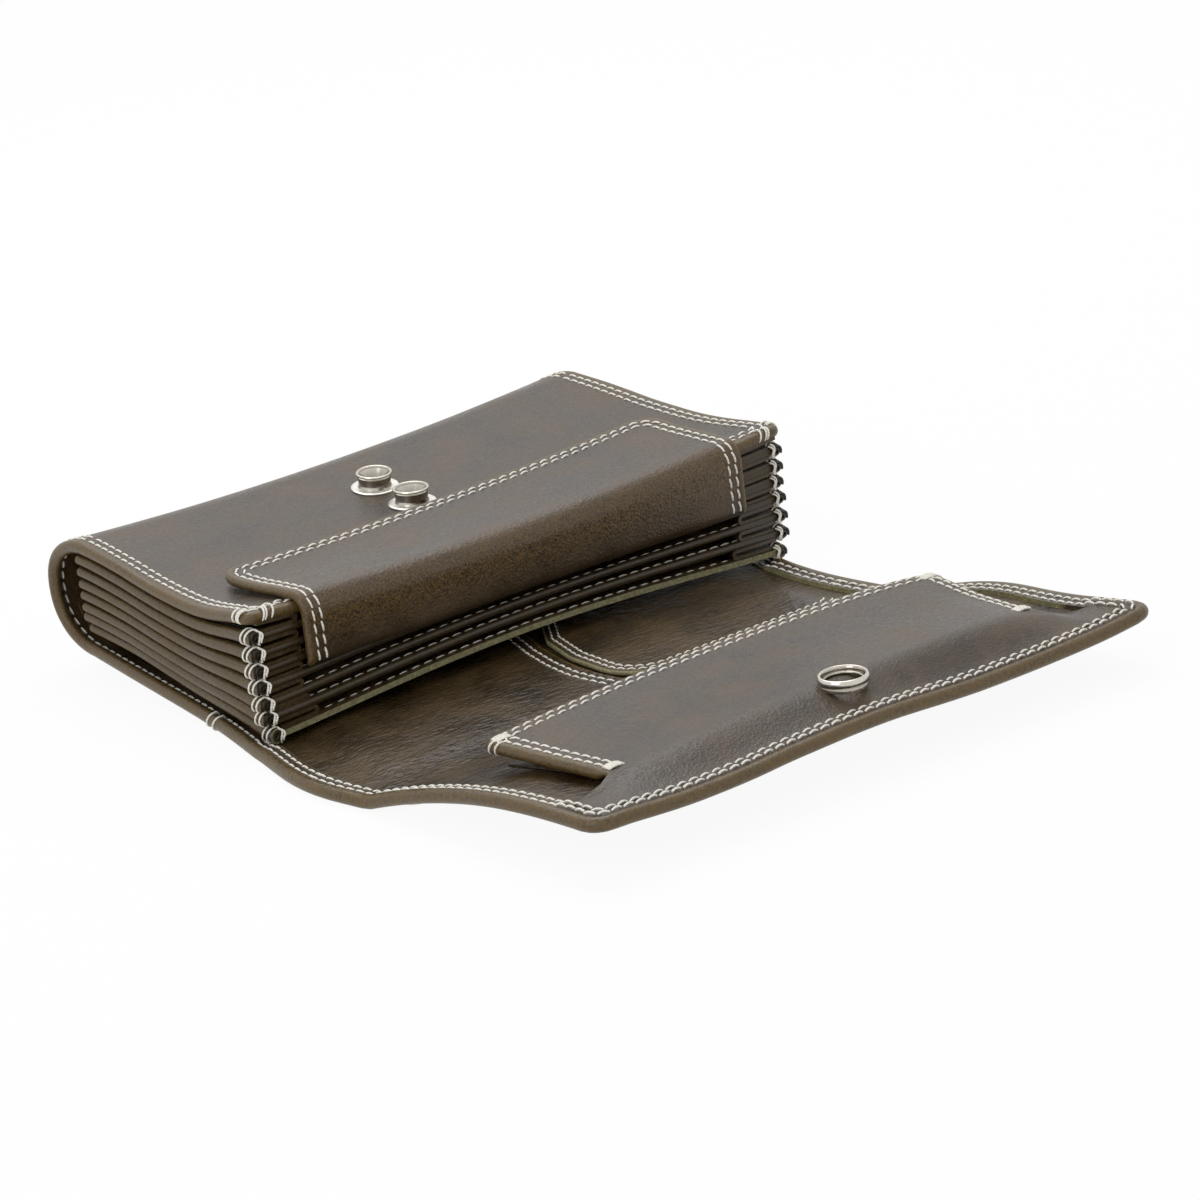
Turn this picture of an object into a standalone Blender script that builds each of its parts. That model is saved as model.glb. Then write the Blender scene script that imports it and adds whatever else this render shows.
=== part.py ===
"""Waiter wallet: an accordion wallet of turned-edge leather, lying on its back with its flap open.

The long axis is X, the flap opens toward -Y, and Z is up. Sizes are in metres.
Places along the depth are written from the mouth of the stack: plus toward the spine, minus along the flap.
"""

import math

import bmesh
import bpy
from mathutils import Matrix, Vector

# Body: the stack of eight walls with its cover
BODY_WIDTH = 0.180
SPINE_NARROWING = 0.0046
TOP_DEPTH = 0.092
SPINE_BULGE = 0.0200
SPINE_ROUNDNESS = 2.2
MOUTH_HEIGHT = 0.0390
SPINE_HEIGHT = 0.0416
SIDE_LIFT = 0.0085
SIDE_LIFT_FROM_SHARE = 0.5
WALL_COUNT = 8
WALL_THICKNESS = 0.0015
WALL_SETBACK = 0.0040
LOWEST_WALL_HEIGHT = 0.0035
LOWEST_WALL_INSET = 0.0043
TOP_SAG = 0.0024
LOWEST_WALL_ARCH = 0.0060
STACK_LEAN = 0.0070
MOUTH_SPREAD = 0.0035
TONGUE_WALL = 4

# Leather: plain thickness, and the bead of a turned edge
COVER_THICKNESS = 0.0020
BEAD_DIAMETER = 0.0032
OUTER_BEAD_DIAMETER = 0.0038
CLEARANCE = 0.0003

# Flap, in two lengths with a fold before each
FLAP_LENGTH = 0.146
FLAP_FLARE = 0.0050
FLAP_FLARE_AT = 0.045
FLAP_END_NARROWING = 0.0040
FRONT_FOLD_AT = 0.0075
FRONT_LENGTH = 0.0480
FLAP_RISE = 0.0132
FLAP_RISE_POWER = 2.2
FLAP_CORNER = 0.0060
FLAP_FOLD_ANGLE = math.radians(90)
FLAP_WRAP_ANGLE = math.radians(82)

# Tongue over the first three compartments
TONGUE_INSET = 0.0168
TONGUE_DEPTH = 0.0352
TONGUE_THICKNESS = 0.0015
TONGUE_BEAD_DIAMETER = 0.0024
TONGUE_DROP_AT = 0.0030
TONGUE_FOOT_HEIGHT = 0.0218
TONGUE_BEND_RADIUS = 0.0050
TONGUE_LIFT_FRONT = 0.00265
TONGUE_LIFT_REAR = 0.00205
TONGUE_CORNER = 0.0110
ROOT_THICKNESS = 0.0010
ROOT_INSET = 0.0045
ROOT_END_AT = 0.0080
ROOT_BLEND = 0.0030

# Accordion gussets
GUSSET_THICKNESS = 0.0008
GUSSET_GAP = 0.0003
GUSSET_LOOP_DEPTH = 0.0105
GUSSET_SPINE_SHARE = 0.6
GUSSET_SETBACK = 0.0008
GUSSET_BEAD_OVERLAP = 0.00045

# Coin pouch: a panel that lifts at its mouth, and a seat sewn down behind its hinge
COIN_PANEL_LENGTH = 0.0443
COIN_SEAT_LENGTH = 0.0160
COIN_END_INSET = 0.0060
COIN_MOUTH_INSET = 0.0158
COIN_HINGE_INSET = 0.0195
COIN_SEAT_INSET = 0.0045
COIN_SHOULDER = 0.0060
COIN_MOUTH_HEIGHT = 0.0148
COIN_HINGE_HEIGHT = 0.0166
COIN_END_HEIGHT = 0.0161
COIN_THICKNESS = 0.0014
COIN_BEAD_DIAMETER = 0.0026
COIN_CORNER = 0.0040
COIN_GUSSET_THICKNESS = 0.0006
COIN_GUSSET_DEPTH = 0.0095
COIN_GUSSET_INSET = 0.0026
COIN_GUSSET_LENGTH = 0.0280

# Slip pockets on the front length of the flap
POCKET_THICKNESS = 0.0011
POCKET_BEAD_DIAMETER = 0.0013
POCKET_START_AT = 0.0105
POCKET_SPLIT = 0.0030
POCKET_SIDE_INSET = 0.0080
LEFT_POCKET_END_AT = 0.0505
RIGHT_POCKET_END_AT = 0.0485
POCKET_CORNER = 0.0140

# Snap: two studs on the cover, one ring socket on the seat of the coin pouch
SOCKET_INSET = 0.0150
SOCKET_RADIUS = 0.0072
SOCKET_HEIGHT = 0.0036
SOCKET_BORE = 0.00525
SOCKET_GROOVE = 0.0006
SPRING_RADIUS = 0.00045
SPRING_GRIP = 0.0002
STUD_SPACING = 0.0180
STUD_RADIUS = 0.0049
STUD_NECK_RADIUS = 0.00425
STUD_HEIGHT = 0.0038
STUD_LIP = 0.0005
STUD_BOWL_RADIUS = 0.0019
STUD_BOWL_DEPTH = 0.0023
WASHER_RADIUS = 0.00685
WASHER_HOLE_RADIUS = 0.0030
WASHER_THICKNESS = 0.0005
RIVET_RADIUS = 0.0048
RIVET_HEIGHT = 0.0007
SOCKET_CAP_RADIUS = 0.0065
SOCKET_CAP_HEIGHT = 0.0012
CAP_RADIUS = 0.0052
CAP_HEIGHT = 0.0015
CAP_INSET = 0.0085
CAP_AT = 0.0670

# Faceting
TURNED_SEGMENTS = 24
SPINE_SEGMENTS = 16
BEND_SEGMENTS = 5
BEAD_SHARES = (0.0, 0.3, 1.0, 1.7, 2.4)
NOSE_SHARES = (0.0, 0.3, 1.0)
SLOPE_STEP = 0.0002
WELD = 0.000001

MOUTH_Y = (FLAP_LENGTH - TOP_DEPTH - SPINE_BULGE) / 2
HALF_WIDTH = BODY_WIDTH / 2
BEAD = BEAD_DIAMETER / 2
OUTER_BEAD = OUTER_BEAD_DIAMETER / 2
TONGUE_BEAD = TONGUE_BEAD_DIAMETER / 2
COIN_BEAD = COIN_BEAD_DIAMETER / 2
POCKET_BEAD = POCKET_BEAD_DIAMETER / 2
COVER_HALF = COVER_THICKNESS / 2
WALL_HALF = WALL_THICKNESS / 2
TONGUE_HALF = TONGUE_THICKNESS / 2
COIN_HALF = COIN_THICKNESS / 2
END_FOLD_AT = FRONT_FOLD_AT + FRONT_LENGTH
HINGE_HEIGHT = SPINE_HEIGHT - BEAD
WALL_END_AT = TOP_DEPTH - WALL_SETBACK
SOCKET_AT = FLAP_LENGTH - SOCKET_INSET
COIN_END_AT = FLAP_LENGTH - COIN_END_INSET
COIN_HINGE_AT = COIN_END_AT - COIN_SEAT_LENGTH
COIN_MOUTH_AT = COIN_HINGE_AT - COIN_PANEL_LENGTH
COIN_HALF_WIDTH = HALF_WIDTH - COIN_MOUTH_INSET
COIN_HINGE_HALF_WIDTH = HALF_WIDTH - COIN_HINGE_INSET
COIN_PIVOT_HEIGHT = COIN_HINGE_HEIGHT - COIN_HALF + COIN_BEAD
TONGUE_PIVOT_AT = TONGUE_DROP_AT - TONGUE_HALF + TONGUE_BEAD


def clear_scene():
    for obj in list(bpy.data.objects):
        bpy.data.objects.remove(obj, do_unlink=True)


def material(name, colour, roughness, metallic=0.0):
    made = bpy.data.materials.new(name)
    made.use_nodes = True
    shader = made.node_tree.nodes["Principled BSDF"]
    shader.inputs["Base Color"].default_value = (*colour, 1.0)
    shader.inputs["Roughness"].default_value = roughness
    shader.inputs["Metallic"].default_value = metallic
    return made


class Body:
    """A set of pieces that move as one, hung on an empty that sits on their joint axis."""

    def __init__(self, name, depth, height, parent=None):
        self.pivot = at(0, depth, height)
        self.empty = bpy.data.objects.new(name, None)
        self.empty.empty_display_size = BEAD_DIAMETER
        bpy.context.scene.collection.objects.link(self.empty)
        self.empty.parent = parent.empty if parent else None
        self.empty.location = self.pivot - (parent.pivot if parent else Vector((0, 0, 0)))

    def add(self, name, make, look):
        """Fills a mesh in world space, then gives the piece an origin on this body's axis."""
        shape = bmesh.new()
        make(shape)
        bmesh.ops.recalc_face_normals(shape, faces=shape.faces)
        if shape.calc_volume(signed=True) < 0:
            bmesh.ops.reverse_faces(shape, faces=shape.faces)
        bmesh.ops.translate(shape, verts=shape.verts, vec=-self.pivot)
        mesh = bpy.data.meshes.new(name)
        shape.to_mesh(mesh)
        shape.free()
        mesh.shade_smooth()
        mesh.set_sharp_from_angle(angle=math.radians(40))
        piece = bpy.data.objects.new(name, mesh)
        bpy.context.scene.collection.objects.link(piece)
        piece.data.materials.append(look.copy())
        piece.data.materials[0].name = name
        piece.parent = self.empty


def at(across, depth, height):
    """A point from its places across the wallet, behind the mouth, and up."""
    return Vector((across, MOUTH_Y + depth, height))


def smooth(share):
    share = min(1.0, max(0.0, share))
    return share * share * (3 - 2 * share)


# Sheets of leather

def bead_half(inset, bead, plain):
    """Half the thickness at a distance in from a turned edge: a round bead that eases into the sheet."""
    if inset <= bead:
        return math.sqrt(max(0.0, bead**2 - (bead - inset) ** 2))
    eased = smooth((inset - bead) / (bead * (BEAD_SHARES[-1] - 1)))
    return bead + (plain - bead) * eased


def edge_insets(bead, corner):
    insets = [share * bead for share in BEAD_SHARES]
    if corner > insets[-1]:
        insets += [(corner + insets[-1]) / 2, corner]
    return insets


def row_places(length, ends, bead, corner, stops):
    """Places along a sheet, with close rows where an end is turned, or rounded like a nose for a hinge."""
    near = {
        "turned": edge_insets(bead, corner),
        "nose": [share * bead for share in NOSE_SHARES],
        "cut": [0.0],
    }
    first = near[ends[0]]
    last = [length - inset for inset in reversed(near[ends[1]])]
    if isinstance(stops, int):
        span = last[0] - first[-1]
        stops = [first[-1] + span * k / stops for k in range(1, stops)]
    return first + [t for t in stops if first[-1] + bead < t < last[0] - bead] + last


def sheet(path, length, edges, ends, bead, plain, stops=6, columns=8, corner=0.0, flush=False, sag=None):
    """Returns a mesh maker for a leather sheet with turned side edges, laid along a path.

    path(t) gives depth, height and the upward normal at t, and edges(t) where the two sides lie.
    flush keeps the underside plain, so that the beads rise only on top. sag(across, t) raises the middle.
    """
    insets = edge_insets(bead, corner)
    column_list = [(-1, inset) for inset in insets]
    column_list += [(0, k / columns) for k in range(1, columns)]
    column_list += [(1, inset) for inset in reversed(insets)]

    def pair(side, inset, t):
        start = t if ends[0] == "turned" else math.inf
        end = length - t if ends[1] == "turned" else math.inf
        near = min(start, end)
        aside = inset if side else math.inf
        edge = min(near, aside)
        if aside < corner and near < corner:
            shrink = (corner - edge) / math.hypot(corner - aside, corner - near)
            inset = corner - (corner - aside) * shrink
            rounded = corner - (corner - near) * shrink
            t = rounded if start < end else length - rounded
        left, right = edges(t)
        if side:
            across = left + inset if side < 0 else right - inset
        else:
            left, right = left + insets[-1], right - insets[-1]
            across = left + (right - left) * inset
        half = bead_half(edge, bead, plain)
        lift = (bead if edge < bead else half) - plain if flush else 0.0
        for kind, run in ((ends[0], t), (ends[1], length - t)):
            if kind == "nose" and run < bead:
                half *= math.sqrt(max(0.0, 1 - (1 - run / bead) ** 2))
        depth, height, normal_depth, normal_height = path(t)
        middle = at(across, depth, height + (sag(across, t) if sag else 0.0))
        normal = Vector((0, normal_depth, normal_height))
        return middle + normal * (lift + half), middle + normal * (lift - half), half

    def make(shape):
        grid = []
        for t in row_places(length, ends, bead, corner, stops):
            line = []
            for side, inset in column_list:
                top, bottom, half = pair(side, inset, t)
                upper = shape.verts.new(top)
                line.append((upper, upper if half <= WELD else shape.verts.new(bottom)))
            grid.append(line)
        close_grid(shape, grid)

    return make


def close_grid(shape, grid):
    """Skins a grid of (upper, lower) vertex pairs above, below and round its rim."""
    rows, cols = len(grid), len(grid[0])
    for r in range(rows - 1):
        for c in range(cols - 1):
            cell = (grid[r][c], grid[r][c + 1], grid[r + 1][c + 1], grid[r + 1][c])
            shape.faces.new([pair[0] for pair in cell])
            shape.faces.new([pair[1] for pair in reversed(cell)])
    rim = grid[0] + [line[-1] for line in grid[1:]]
    rim += grid[-1][-2::-1] + [line[0] for line in grid[-2:0:-1]]
    for here, there in zip(rim, rim[1:] + rim[:1]):
        corners = list(dict.fromkeys((here[0], here[1], there[1], there[0])))
        if len(corners) > 2:
            shape.faces.new(corners)


def surface_path(start, direction, height_of):
    """A path that runs along the depth from start, over a surface whose height is known."""

    def path(t):
        depth = start + direction * t
        rise = (height_of(depth + SLOPE_STEP) - height_of(depth - SLOPE_STEP)) / (2 * SLOPE_STEP)
        lean = math.hypot(1, rise)
        return depth, height_of(depth), -rise / lean, 1 / lean

    return path


def line_path(points):
    """A path through (depth, height) points, its length and the places of the points. Up is on its left."""
    places = [0.0]
    for (d0, h0), (d1, h1) in zip(points, points[1:]):
        places.append(places[-1] + math.hypot(d1 - d0, h1 - h0))
    runs = [
        ((d1 - d0) / (q - p), (h1 - h0) / (q - p))
        for (d0, h0), (d1, h1), p, q in zip(points, points[1:], places, places[1:])
    ]

    def path(t):
        t = min(places[-1], max(0.0, t))
        k = min(len(runs) - 1, sum(1 for place in places[1:-1] if t >= place))
        share = (t - places[k]) / (places[k + 1] - places[k])
        other = runs[max(0, k - 1)] if share < 0.5 else runs[min(len(runs) - 1, k + 1)]
        pull = abs(share - 0.5)
        forward, up = (runs[k][i] * (1 - pull) + other[i] * pull for i in (0, 1))
        size = math.hypot(forward, up)
        depth = points[k][0] + (points[k + 1][0] - points[k][0]) * share
        height = points[k][1] + (points[k + 1][1] - points[k][1]) * share
        return depth, height, -up / size, forward / size

    return path, places[-1], places


def loft(stations):
    """Returns a mesh maker for a folded strip, from stations that each hold two lines of points, its faces."""

    def make(shape):
        lines = [[[shape.verts.new(p) for p in face] for face in station] for station in stations]
        for here, there in zip(lines, lines[1:]):
            for face in (0, 1):
                a, b = here[face], there[face]
                for k in range(len(a) - 1):
                    shape.faces.new((a[k], a[k + 1], b[k + 1], b[k]))
            for k in (0, -1):
                shape.faces.new((here[0][k], there[0][k], there[1][k], here[1][k]))
        for first, second in (lines[0], lines[-1]):
            for k in range(len(first) - 1):
                shape.faces.new((first[k], first[k + 1], second[k + 1], second[k]))

    return make


def thickened(line, half):
    """Two lines at half a thickness on each side of a line of points that lies across the depth."""
    faces = ([], [])
    for k, point in enumerate(line):
        before, after = line[max(0, k - 1)], line[min(len(line) - 1, k + 1)]
        run = (after - before).normalized()
        side = Vector((-run.z, 0, run.x)) * half
        faces[0].append(point + side)
        faces[1].append(point - side)
    return faces


def turned(profile, place, tilt=0.0, ring=False):
    """Returns a mesh maker for a round piece, spun from (radius, height) points. A ring joins last to first."""

    def make(shape):
        points = [shape.verts.new((radius, 0, height)) for radius, height in profile]
        edges = [shape.edges.new(pair) for pair in zip(points, points[1:])]
        if ring:
            edges.append(shape.edges.new((points[-1], points[0])))
        bmesh.ops.spin(
            shape, geom=points + edges, cent=(0, 0, 0), axis=(0, 0, 1),
            angle=2 * math.pi, steps=TURNED_SEGMENTS, use_duplicate=False,
        )
        bmesh.ops.remove_doubles(shape, verts=shape.verts, dist=WELD)
        turn = Matrix.Translation(place) @ Matrix.Rotation(tilt, 4, "X")
        bmesh.ops.transform(shape, matrix=turn, verts=shape.verts)

    return make


# Where the walls lie

def body_edges(depth):
    """Where the cover's sides lie: it narrows toward the spine and flares along the flap."""
    if depth >= 0:
        half = HALF_WIDTH - SPINE_NARROWING * min(1.0, depth / TOP_DEPTH)
    else:
        half = HALF_WIDTH + FLAP_FLARE * smooth(-depth / FLAP_FLARE_AT)
        narrowing = smooth((-depth - FLAP_FLARE_AT) / (FLAP_LENGTH - FLAP_FLARE_AT))
        half -= FLAP_END_NARROWING * narrowing
    return -half, half


def side_lift(across, depth):
    """How far the base lifts off the table at its two ends: not at all at the mouth, and most at the spine."""
    aside = (abs(across) / HALF_WIDTH - SIDE_LIFT_FROM_SHARE) / (1 - SIDE_LIFT_FROM_SHARE)
    return SIDE_LIFT * min(1.0, max(0.0, depth / TOP_DEPTH)) * max(0.0, aside)


def wall_share(number):
    return (number - 1) / (WALL_COUNT - 1)


def wall_edges(number, depth):
    """Where a wall's ends lie: the stack leans at its near end, so that lower walls are set in."""
    left, right = body_edges(max(0.0, depth))
    lean = STACK_LEAN * wall_share(number) * (1 - max(0.0, depth) / TOP_DEPTH)
    inset = LOWEST_WALL_INSET if number == WALL_COUNT else 0.0
    return left + max(lean, inset), right - inset


def wall_front(number):
    return -MOUTH_SPREAD * max(0, number - TONGUE_WALL) / (WALL_COUNT - TONGUE_WALL)


def wall_height(number, across, depth):
    """Height of a wall's middle surface. The stack is pinched together along its centre line."""
    along = depth / TOP_DEPTH
    top = MOUTH_HEIGHT + (SPINE_HEIGHT - MOUTH_HEIGHT) * along - BEAD
    lowest = LOWEST_WALL_HEIGHT + side_lift(across, depth)
    level = top + (lowest - top) * wall_share(number)
    pinch = -TOP_SAG + (TOP_SAG + LOWEST_WALL_ARCH) * wall_share(number)
    fade = 1 - min(1.0, max(0.0, along)) ** 2
    return level + pinch * fade * (1 - min(1.0, abs(across) / HALF_WIDTH) ** 2) ** 1.5


def wall(number):
    """A divider: plain at the mouth, with the outer folds of its two gussets as beads along its ends."""
    start = wall_front(number)
    bead = WALL_HALF if number == WALL_COUNT else OUTER_BEAD

    def path(t):
        return start + t, wall_height(number, HALF_WIDTH, start + t), 0.0, 1.0

    def sag(across, t):
        return wall_height(number, across, start + t) - wall_height(number, HALF_WIDTH, start + t)

    return sheet(
        path, WALL_END_AT - start, lambda t: wall_edges(number, start + t), ("cut", "cut"),
        bead, WALL_HALF, stops=6, sag=sag,
    )


# Cover

def cover_top():
    """Wall 1, from its turned mouth edge to the fold at the spine."""

    def path(t):
        return t, wall_height(1, HALF_WIDTH, t), 0.0, 1.0

    def sag(across, t):
        return wall_height(1, across, t) - wall_height(1, HALF_WIDTH, t)

    return sheet(
        path, TOP_DEPTH + BEAD, body_edges, ("turned", "nose"), BEAD, COVER_HALF,
        stops=5, corner=BEAD_DIAMETER, sag=sag,
    )


def cover_back():
    """Spine and base in one sheet: over the round back and forward to the flap's first fold."""
    half_height = (HINGE_HEIGHT - COVER_HALF) / 2
    reach = SPINE_BULGE + BEAD - COVER_HALF
    start = TOP_DEPTH + BEAD + CLEARANCE
    points = []
    for k in range(SPINE_SEGMENTS + 1):
        turn = math.pi * k / SPINE_SEGMENTS
        depth = TOP_DEPTH - BEAD + reach * abs(math.sin(turn)) ** (2 / SPINE_ROUNDNESS)
        up = math.copysign(abs(math.cos(turn)) ** (2 / SPINE_ROUNDNESS), math.cos(turn))
        height = COVER_HALF + half_height * (1 + up)
        if depth > start or up < 0:
            points.append((depth, height))
    points.insert(0, (start, points[0][1] + (HINGE_HEIGHT - points[0][1]) / 2))
    end = -FRONT_FOLD_AT + BEAD + CLEARANCE
    path, length, places = line_path([(end, COVER_HALF)] + points[::-1])
    flat = [places[1] * k / 6 for k in range(1, 6)]

    def sag(across, t):
        depth, height = path(t)[:2]
        return side_lift(across, depth) * (1 - height / HINGE_HEIGHT)

    return sheet(
        path, length, lambda t: body_edges(path(t)[0]), ("nose", "nose"), BEAD, COVER_HALF,
        stops=flat + places[1:-1], flush=True, sag=sag,
    )


# Flap

def flap_underside(depth):
    """The flap lies flat up to its second fold and then rises from the table."""
    along = min(1.0, max(0.0, (-depth - END_FOLD_AT) / (FLAP_LENGTH - END_FOLD_AT)))
    return FLAP_RISE * (1 - (1 - along) ** FLAP_RISE_POWER)


def flap_middle(depth):
    return flap_underside(depth) + COVER_HALF


def flap_front():
    start = -FRONT_FOLD_AT + BEAD
    path = surface_path(start, -1, flap_middle)
    return sheet(
        path, FRONT_LENGTH - CLEARANCE, lambda t: body_edges(start - t), ("nose", "nose"), BEAD, COVER_HALF,
        stops=5, flush=True,
    )


def flap_end():
    start = -END_FOLD_AT + BEAD
    path = surface_path(start, -1, flap_middle)
    return sheet(
        path, FLAP_LENGTH + start, lambda t: body_edges(start - t), ("nose", "turned"), BEAD, COVER_HALF,
        stops=9, corner=FLAP_CORNER, flush=True,
    )


def slip_pocket(left, right, end):
    """A pocket sheet on the front of the flap, with a turned front edge and rounded corners."""
    start = -POCKET_START_AT
    level = COVER_THICKNESS + CLEARANCE + POCKET_THICKNESS / 2

    def path(t):
        return start - t, level, 0.0, 1.0

    return sheet(
        path, end + start, lambda t: (left(start - t), right(start - t)), ("cut", "turned"),
        POCKET_BEAD, POCKET_THICKNESS / 2, stops=3, columns=4, corner=POCKET_CORNER, flush=True,
    )


# Tongue

def tongue_points():
    """The tongue's middle line, from its foot up the drop, round the bend and back over the cover."""
    lowest = TONGUE_FOOT_HEIGHT - TONGUE_BEAD
    top = wall_height(1, HALF_WIDTH, 0) + TONGUE_LIFT_FRONT
    bend = (TONGUE_BEND_RADIUS - TONGUE_DROP_AT, top - TONGUE_BEND_RADIUS)
    points = [(-TONGUE_DROP_AT, lowest), (-TONGUE_DROP_AT, (lowest + bend[1]) / 2)]
    for k in range(BEND_SEGMENTS + 1):
        turn = math.pi / 2 * k / BEND_SEGMENTS
        points.append(
            (bend[0] - TONGUE_BEND_RADIUS * math.cos(turn), bend[1] + TONGUE_BEND_RADIUS * math.sin(turn))
        )
    for k in (1, 2, 3):
        depth = bend[0] + (TONGUE_DEPTH - bend[0]) * k / 3
        lift = TONGUE_LIFT_FRONT + (TONGUE_LIFT_REAR - TONGUE_LIFT_FRONT) * k / 3
        points.append((depth, wall_height(1, HALF_WIDTH, depth) + lift))
    return points


def tongue():
    path, length, places = line_path(tongue_points())
    drop = MOUTH_HEIGHT - TONGUE_FOOT_HEIGHT

    def sag(across, t):
        depth, height = path(t)[:2]
        fall = wall_height(1, across, depth) - wall_height(1, HALF_WIDTH, depth)
        return fall * smooth((height - TONGUE_FOOT_HEIGHT) / drop)

    return sheet(
        path, length, lambda t: (TONGUE_INSET - HALF_WIDTH, HALF_WIDTH - TONGUE_INSET), ("nose", "turned"),
        TONGUE_BEAD, TONGUE_HALF, stops=places[1:-1], corner=TONGUE_CORNER, flush=True, sag=sag,
    )


def tongue_root():
    """The tongue's foot, caught between its wall and the next one down."""
    half = ROOT_THICKNESS / 2
    start = -TONGUE_PIVOT_AT + TONGUE_BEAD + CLEARANCE

    def between(across, depth):
        upper = wall_height(TONGUE_WALL, across, depth)
        return (upper + wall_height(TONGUE_WALL + 1, across, depth)) / 2

    def sag(across, t):
        return (between(across, start + t) - TONGUE_FOOT_HEIGHT) * smooth(t / ROOT_BLEND)

    inset = TONGUE_INSET + ROOT_INSET
    return sheet(
        lambda t: (start + t, TONGUE_FOOT_HEIGHT, 0.0, 1.0), ROOT_END_AT - start,
        lambda t: (inset - HALF_WIDTH, HALF_WIDTH - inset), ("nose", "cut"), half, half, stops=5, sag=sag,
    )


# Gussets

def leaf_start(number, side, depth):
    """Where a gusset leaf leaves the turned end of its wall."""
    ends = wall_edges(number, depth)
    if number == WALL_COUNT:
        covered = GUSSET_THICKNESS
    else:
        covered = BEAD_SHARES[-1] * (BEAD if number == 1 else OUTER_BEAD) - GUSSET_BEAD_OVERLAP
    return ends[0] + covered if side < 0 else ends[1] - covered


def gusset(upper, side):
    """The loop between a wall and the next one down, from its mouth to the spine."""
    half = GUSSET_THICKNESS / 2
    lower = upper + 1
    below = WALL_HALF + GUSSET_GAP + half
    first = wall_front(upper) + GUSSET_SETBACK
    stations = []
    for k in range(5):
        depth = first + (WALL_END_AT - GUSSET_THICKNESS - first) * k / 4
        above = below
        if upper == 1:
            above += (BEAD if k == 0 else COVER_HALF) - WALL_HALF
        deep = GUSSET_LOOP_DEPTH * (1 + (GUSSET_SPINE_SHARE - 1) * k / 4)
        starts = leaf_start(upper, side, depth), leaf_start(lower, side, depth)
        turn_at = min(abs(start) for start in starts) * side - side * deep
        high = wall_height(upper, turn_at, depth) - above
        low = wall_height(lower, turn_at, depth) + below
        radius = (high - low) / 2
        line = [at(starts[0], depth, wall_height(upper, starts[0], depth) - above)]
        for step in range(BEND_SEGMENTS + 1):
            angle = math.pi * step / BEND_SEGMENTS
            across = turn_at - side * radius * math.sin(angle)
            line.append(at(across, depth, low + radius + radius * math.cos(angle)))
        line.append(at(starts[1], depth, wall_height(lower, starts[1], depth) + below))
        stations.append(thickened(line, half))
    return loft(stations)


# Coin pouch

def coin_middle(depth):
    """The panel climbs from its mouth to its hinge, and the seat behind comes down to the flap."""
    if -depth <= COIN_HINGE_AT:
        left = (COIN_HINGE_AT + depth) / (COIN_HINGE_AT - COIN_MOUTH_AT)
        return COIN_HINGE_HEIGHT - (COIN_HINGE_HEIGHT - COIN_MOUTH_HEIGHT) * left**2
    past = (-depth - COIN_HINGE_AT) / (COIN_END_AT - COIN_HINGE_AT)
    return COIN_HINGE_HEIGHT - (COIN_HINGE_HEIGHT - COIN_END_HEIGHT) * past**2


def coin_panel():
    length = COIN_HINGE_AT + COIN_BEAD - COIN_MOUTH_AT

    def edges(t):
        share = t / length
        half = COIN_HALF_WIDTH + (COIN_HINGE_HALF_WIDTH - COIN_HALF_WIDTH) * share
        return -half, half

    return sheet(
        surface_path(-COIN_MOUTH_AT, -1, coin_middle), length, edges, ("turned", "nose"),
        COIN_BEAD, COIN_HALF, stops=4, corner=COIN_CORNER, flush=True,
    )


def coin_seat():
    start = -COIN_HINGE_AT - COIN_BEAD - CLEARANCE

    def edges(t):
        wide = smooth(t / COIN_SHOULDER)
        left, right = body_edges(start - t)
        left = -COIN_HINGE_HALF_WIDTH + (left + COIN_SEAT_INSET + COIN_HINGE_HALF_WIDTH) * wide
        right = COIN_HINGE_HALF_WIDTH + (right - COIN_SEAT_INSET - COIN_HINGE_HALF_WIDTH) * wide
        return left, right

    return sheet(
        surface_path(start, -1, coin_middle), COIN_END_AT + start, edges, ("nose", "cut"),
        COIN_HALF, COIN_HALF, stops=5, flush=True,
    )


def coin_gusset(side):
    """A fold that points inward between the flap and the panel, so that the pouch's mouth can open."""
    half = COIN_GUSSET_THICKNESS / 2
    stations = []
    for k in range(4):
        depth = -COIN_MOUTH_AT - COIN_BEAD - COIN_GUSSET_LENGTH * k / 3
        low = flap_middle(depth) + COVER_HALF + GUSSET_GAP + half
        high = coin_middle(depth) - COIN_HALF - GUSSET_GAP - half
        outer = side * (COIN_HINGE_HALF_WIDTH - COIN_GUSSET_INSET)
        inner = outer - side * COIN_GUSSET_DEPTH
        radius = (high - low) / 2
        line = [at(outer, depth, low)]
        for step in range(BEND_SEGMENTS + 1):
            angle = math.pi * step / BEND_SEGMENTS
            across = inner - side * COIN_GUSSET_THICKNESS * math.sin(angle)
            line.append(at(across, depth, low + radius - radius * math.cos(angle)))
        line.append(at(outer, depth, high))
        stations.append(thickened(line, half))
    return loft(stations)


# Snap hardware

def closed_place(depth, height):
    """Where a point on the end of the flap comes to lie once both folds are closed."""
    place = Vector((-END_FOLD_AT, BEAD))
    arm = Vector((depth, height)) - place
    arm.rotate(Matrix.Rotation(-FLAP_WRAP_ANGLE, 2))
    place = place + arm
    fold = Vector((-FRONT_FOLD_AT, BEAD))
    arm = place - fold
    arm.rotate(Matrix.Rotation(-FLAP_FOLD_ANGLE, 2))
    return fold + arm


def cover_tilt(depth):
    rise = wall_height(1, 0, depth + SLOPE_STEP) - wall_height(1, 0, depth - SLOPE_STEP)
    return math.atan2(rise, 2 * SLOPE_STEP)


def on_cover(depth, above):
    """A place over the cover's centre line, along its own upright."""
    tilt = cover_tilt(depth)
    lift = above + math.copysign(COVER_HALF, above)
    return at(0, depth - lift * math.sin(tilt), wall_height(1, 0, depth) + lift * math.cos(tilt))


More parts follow.
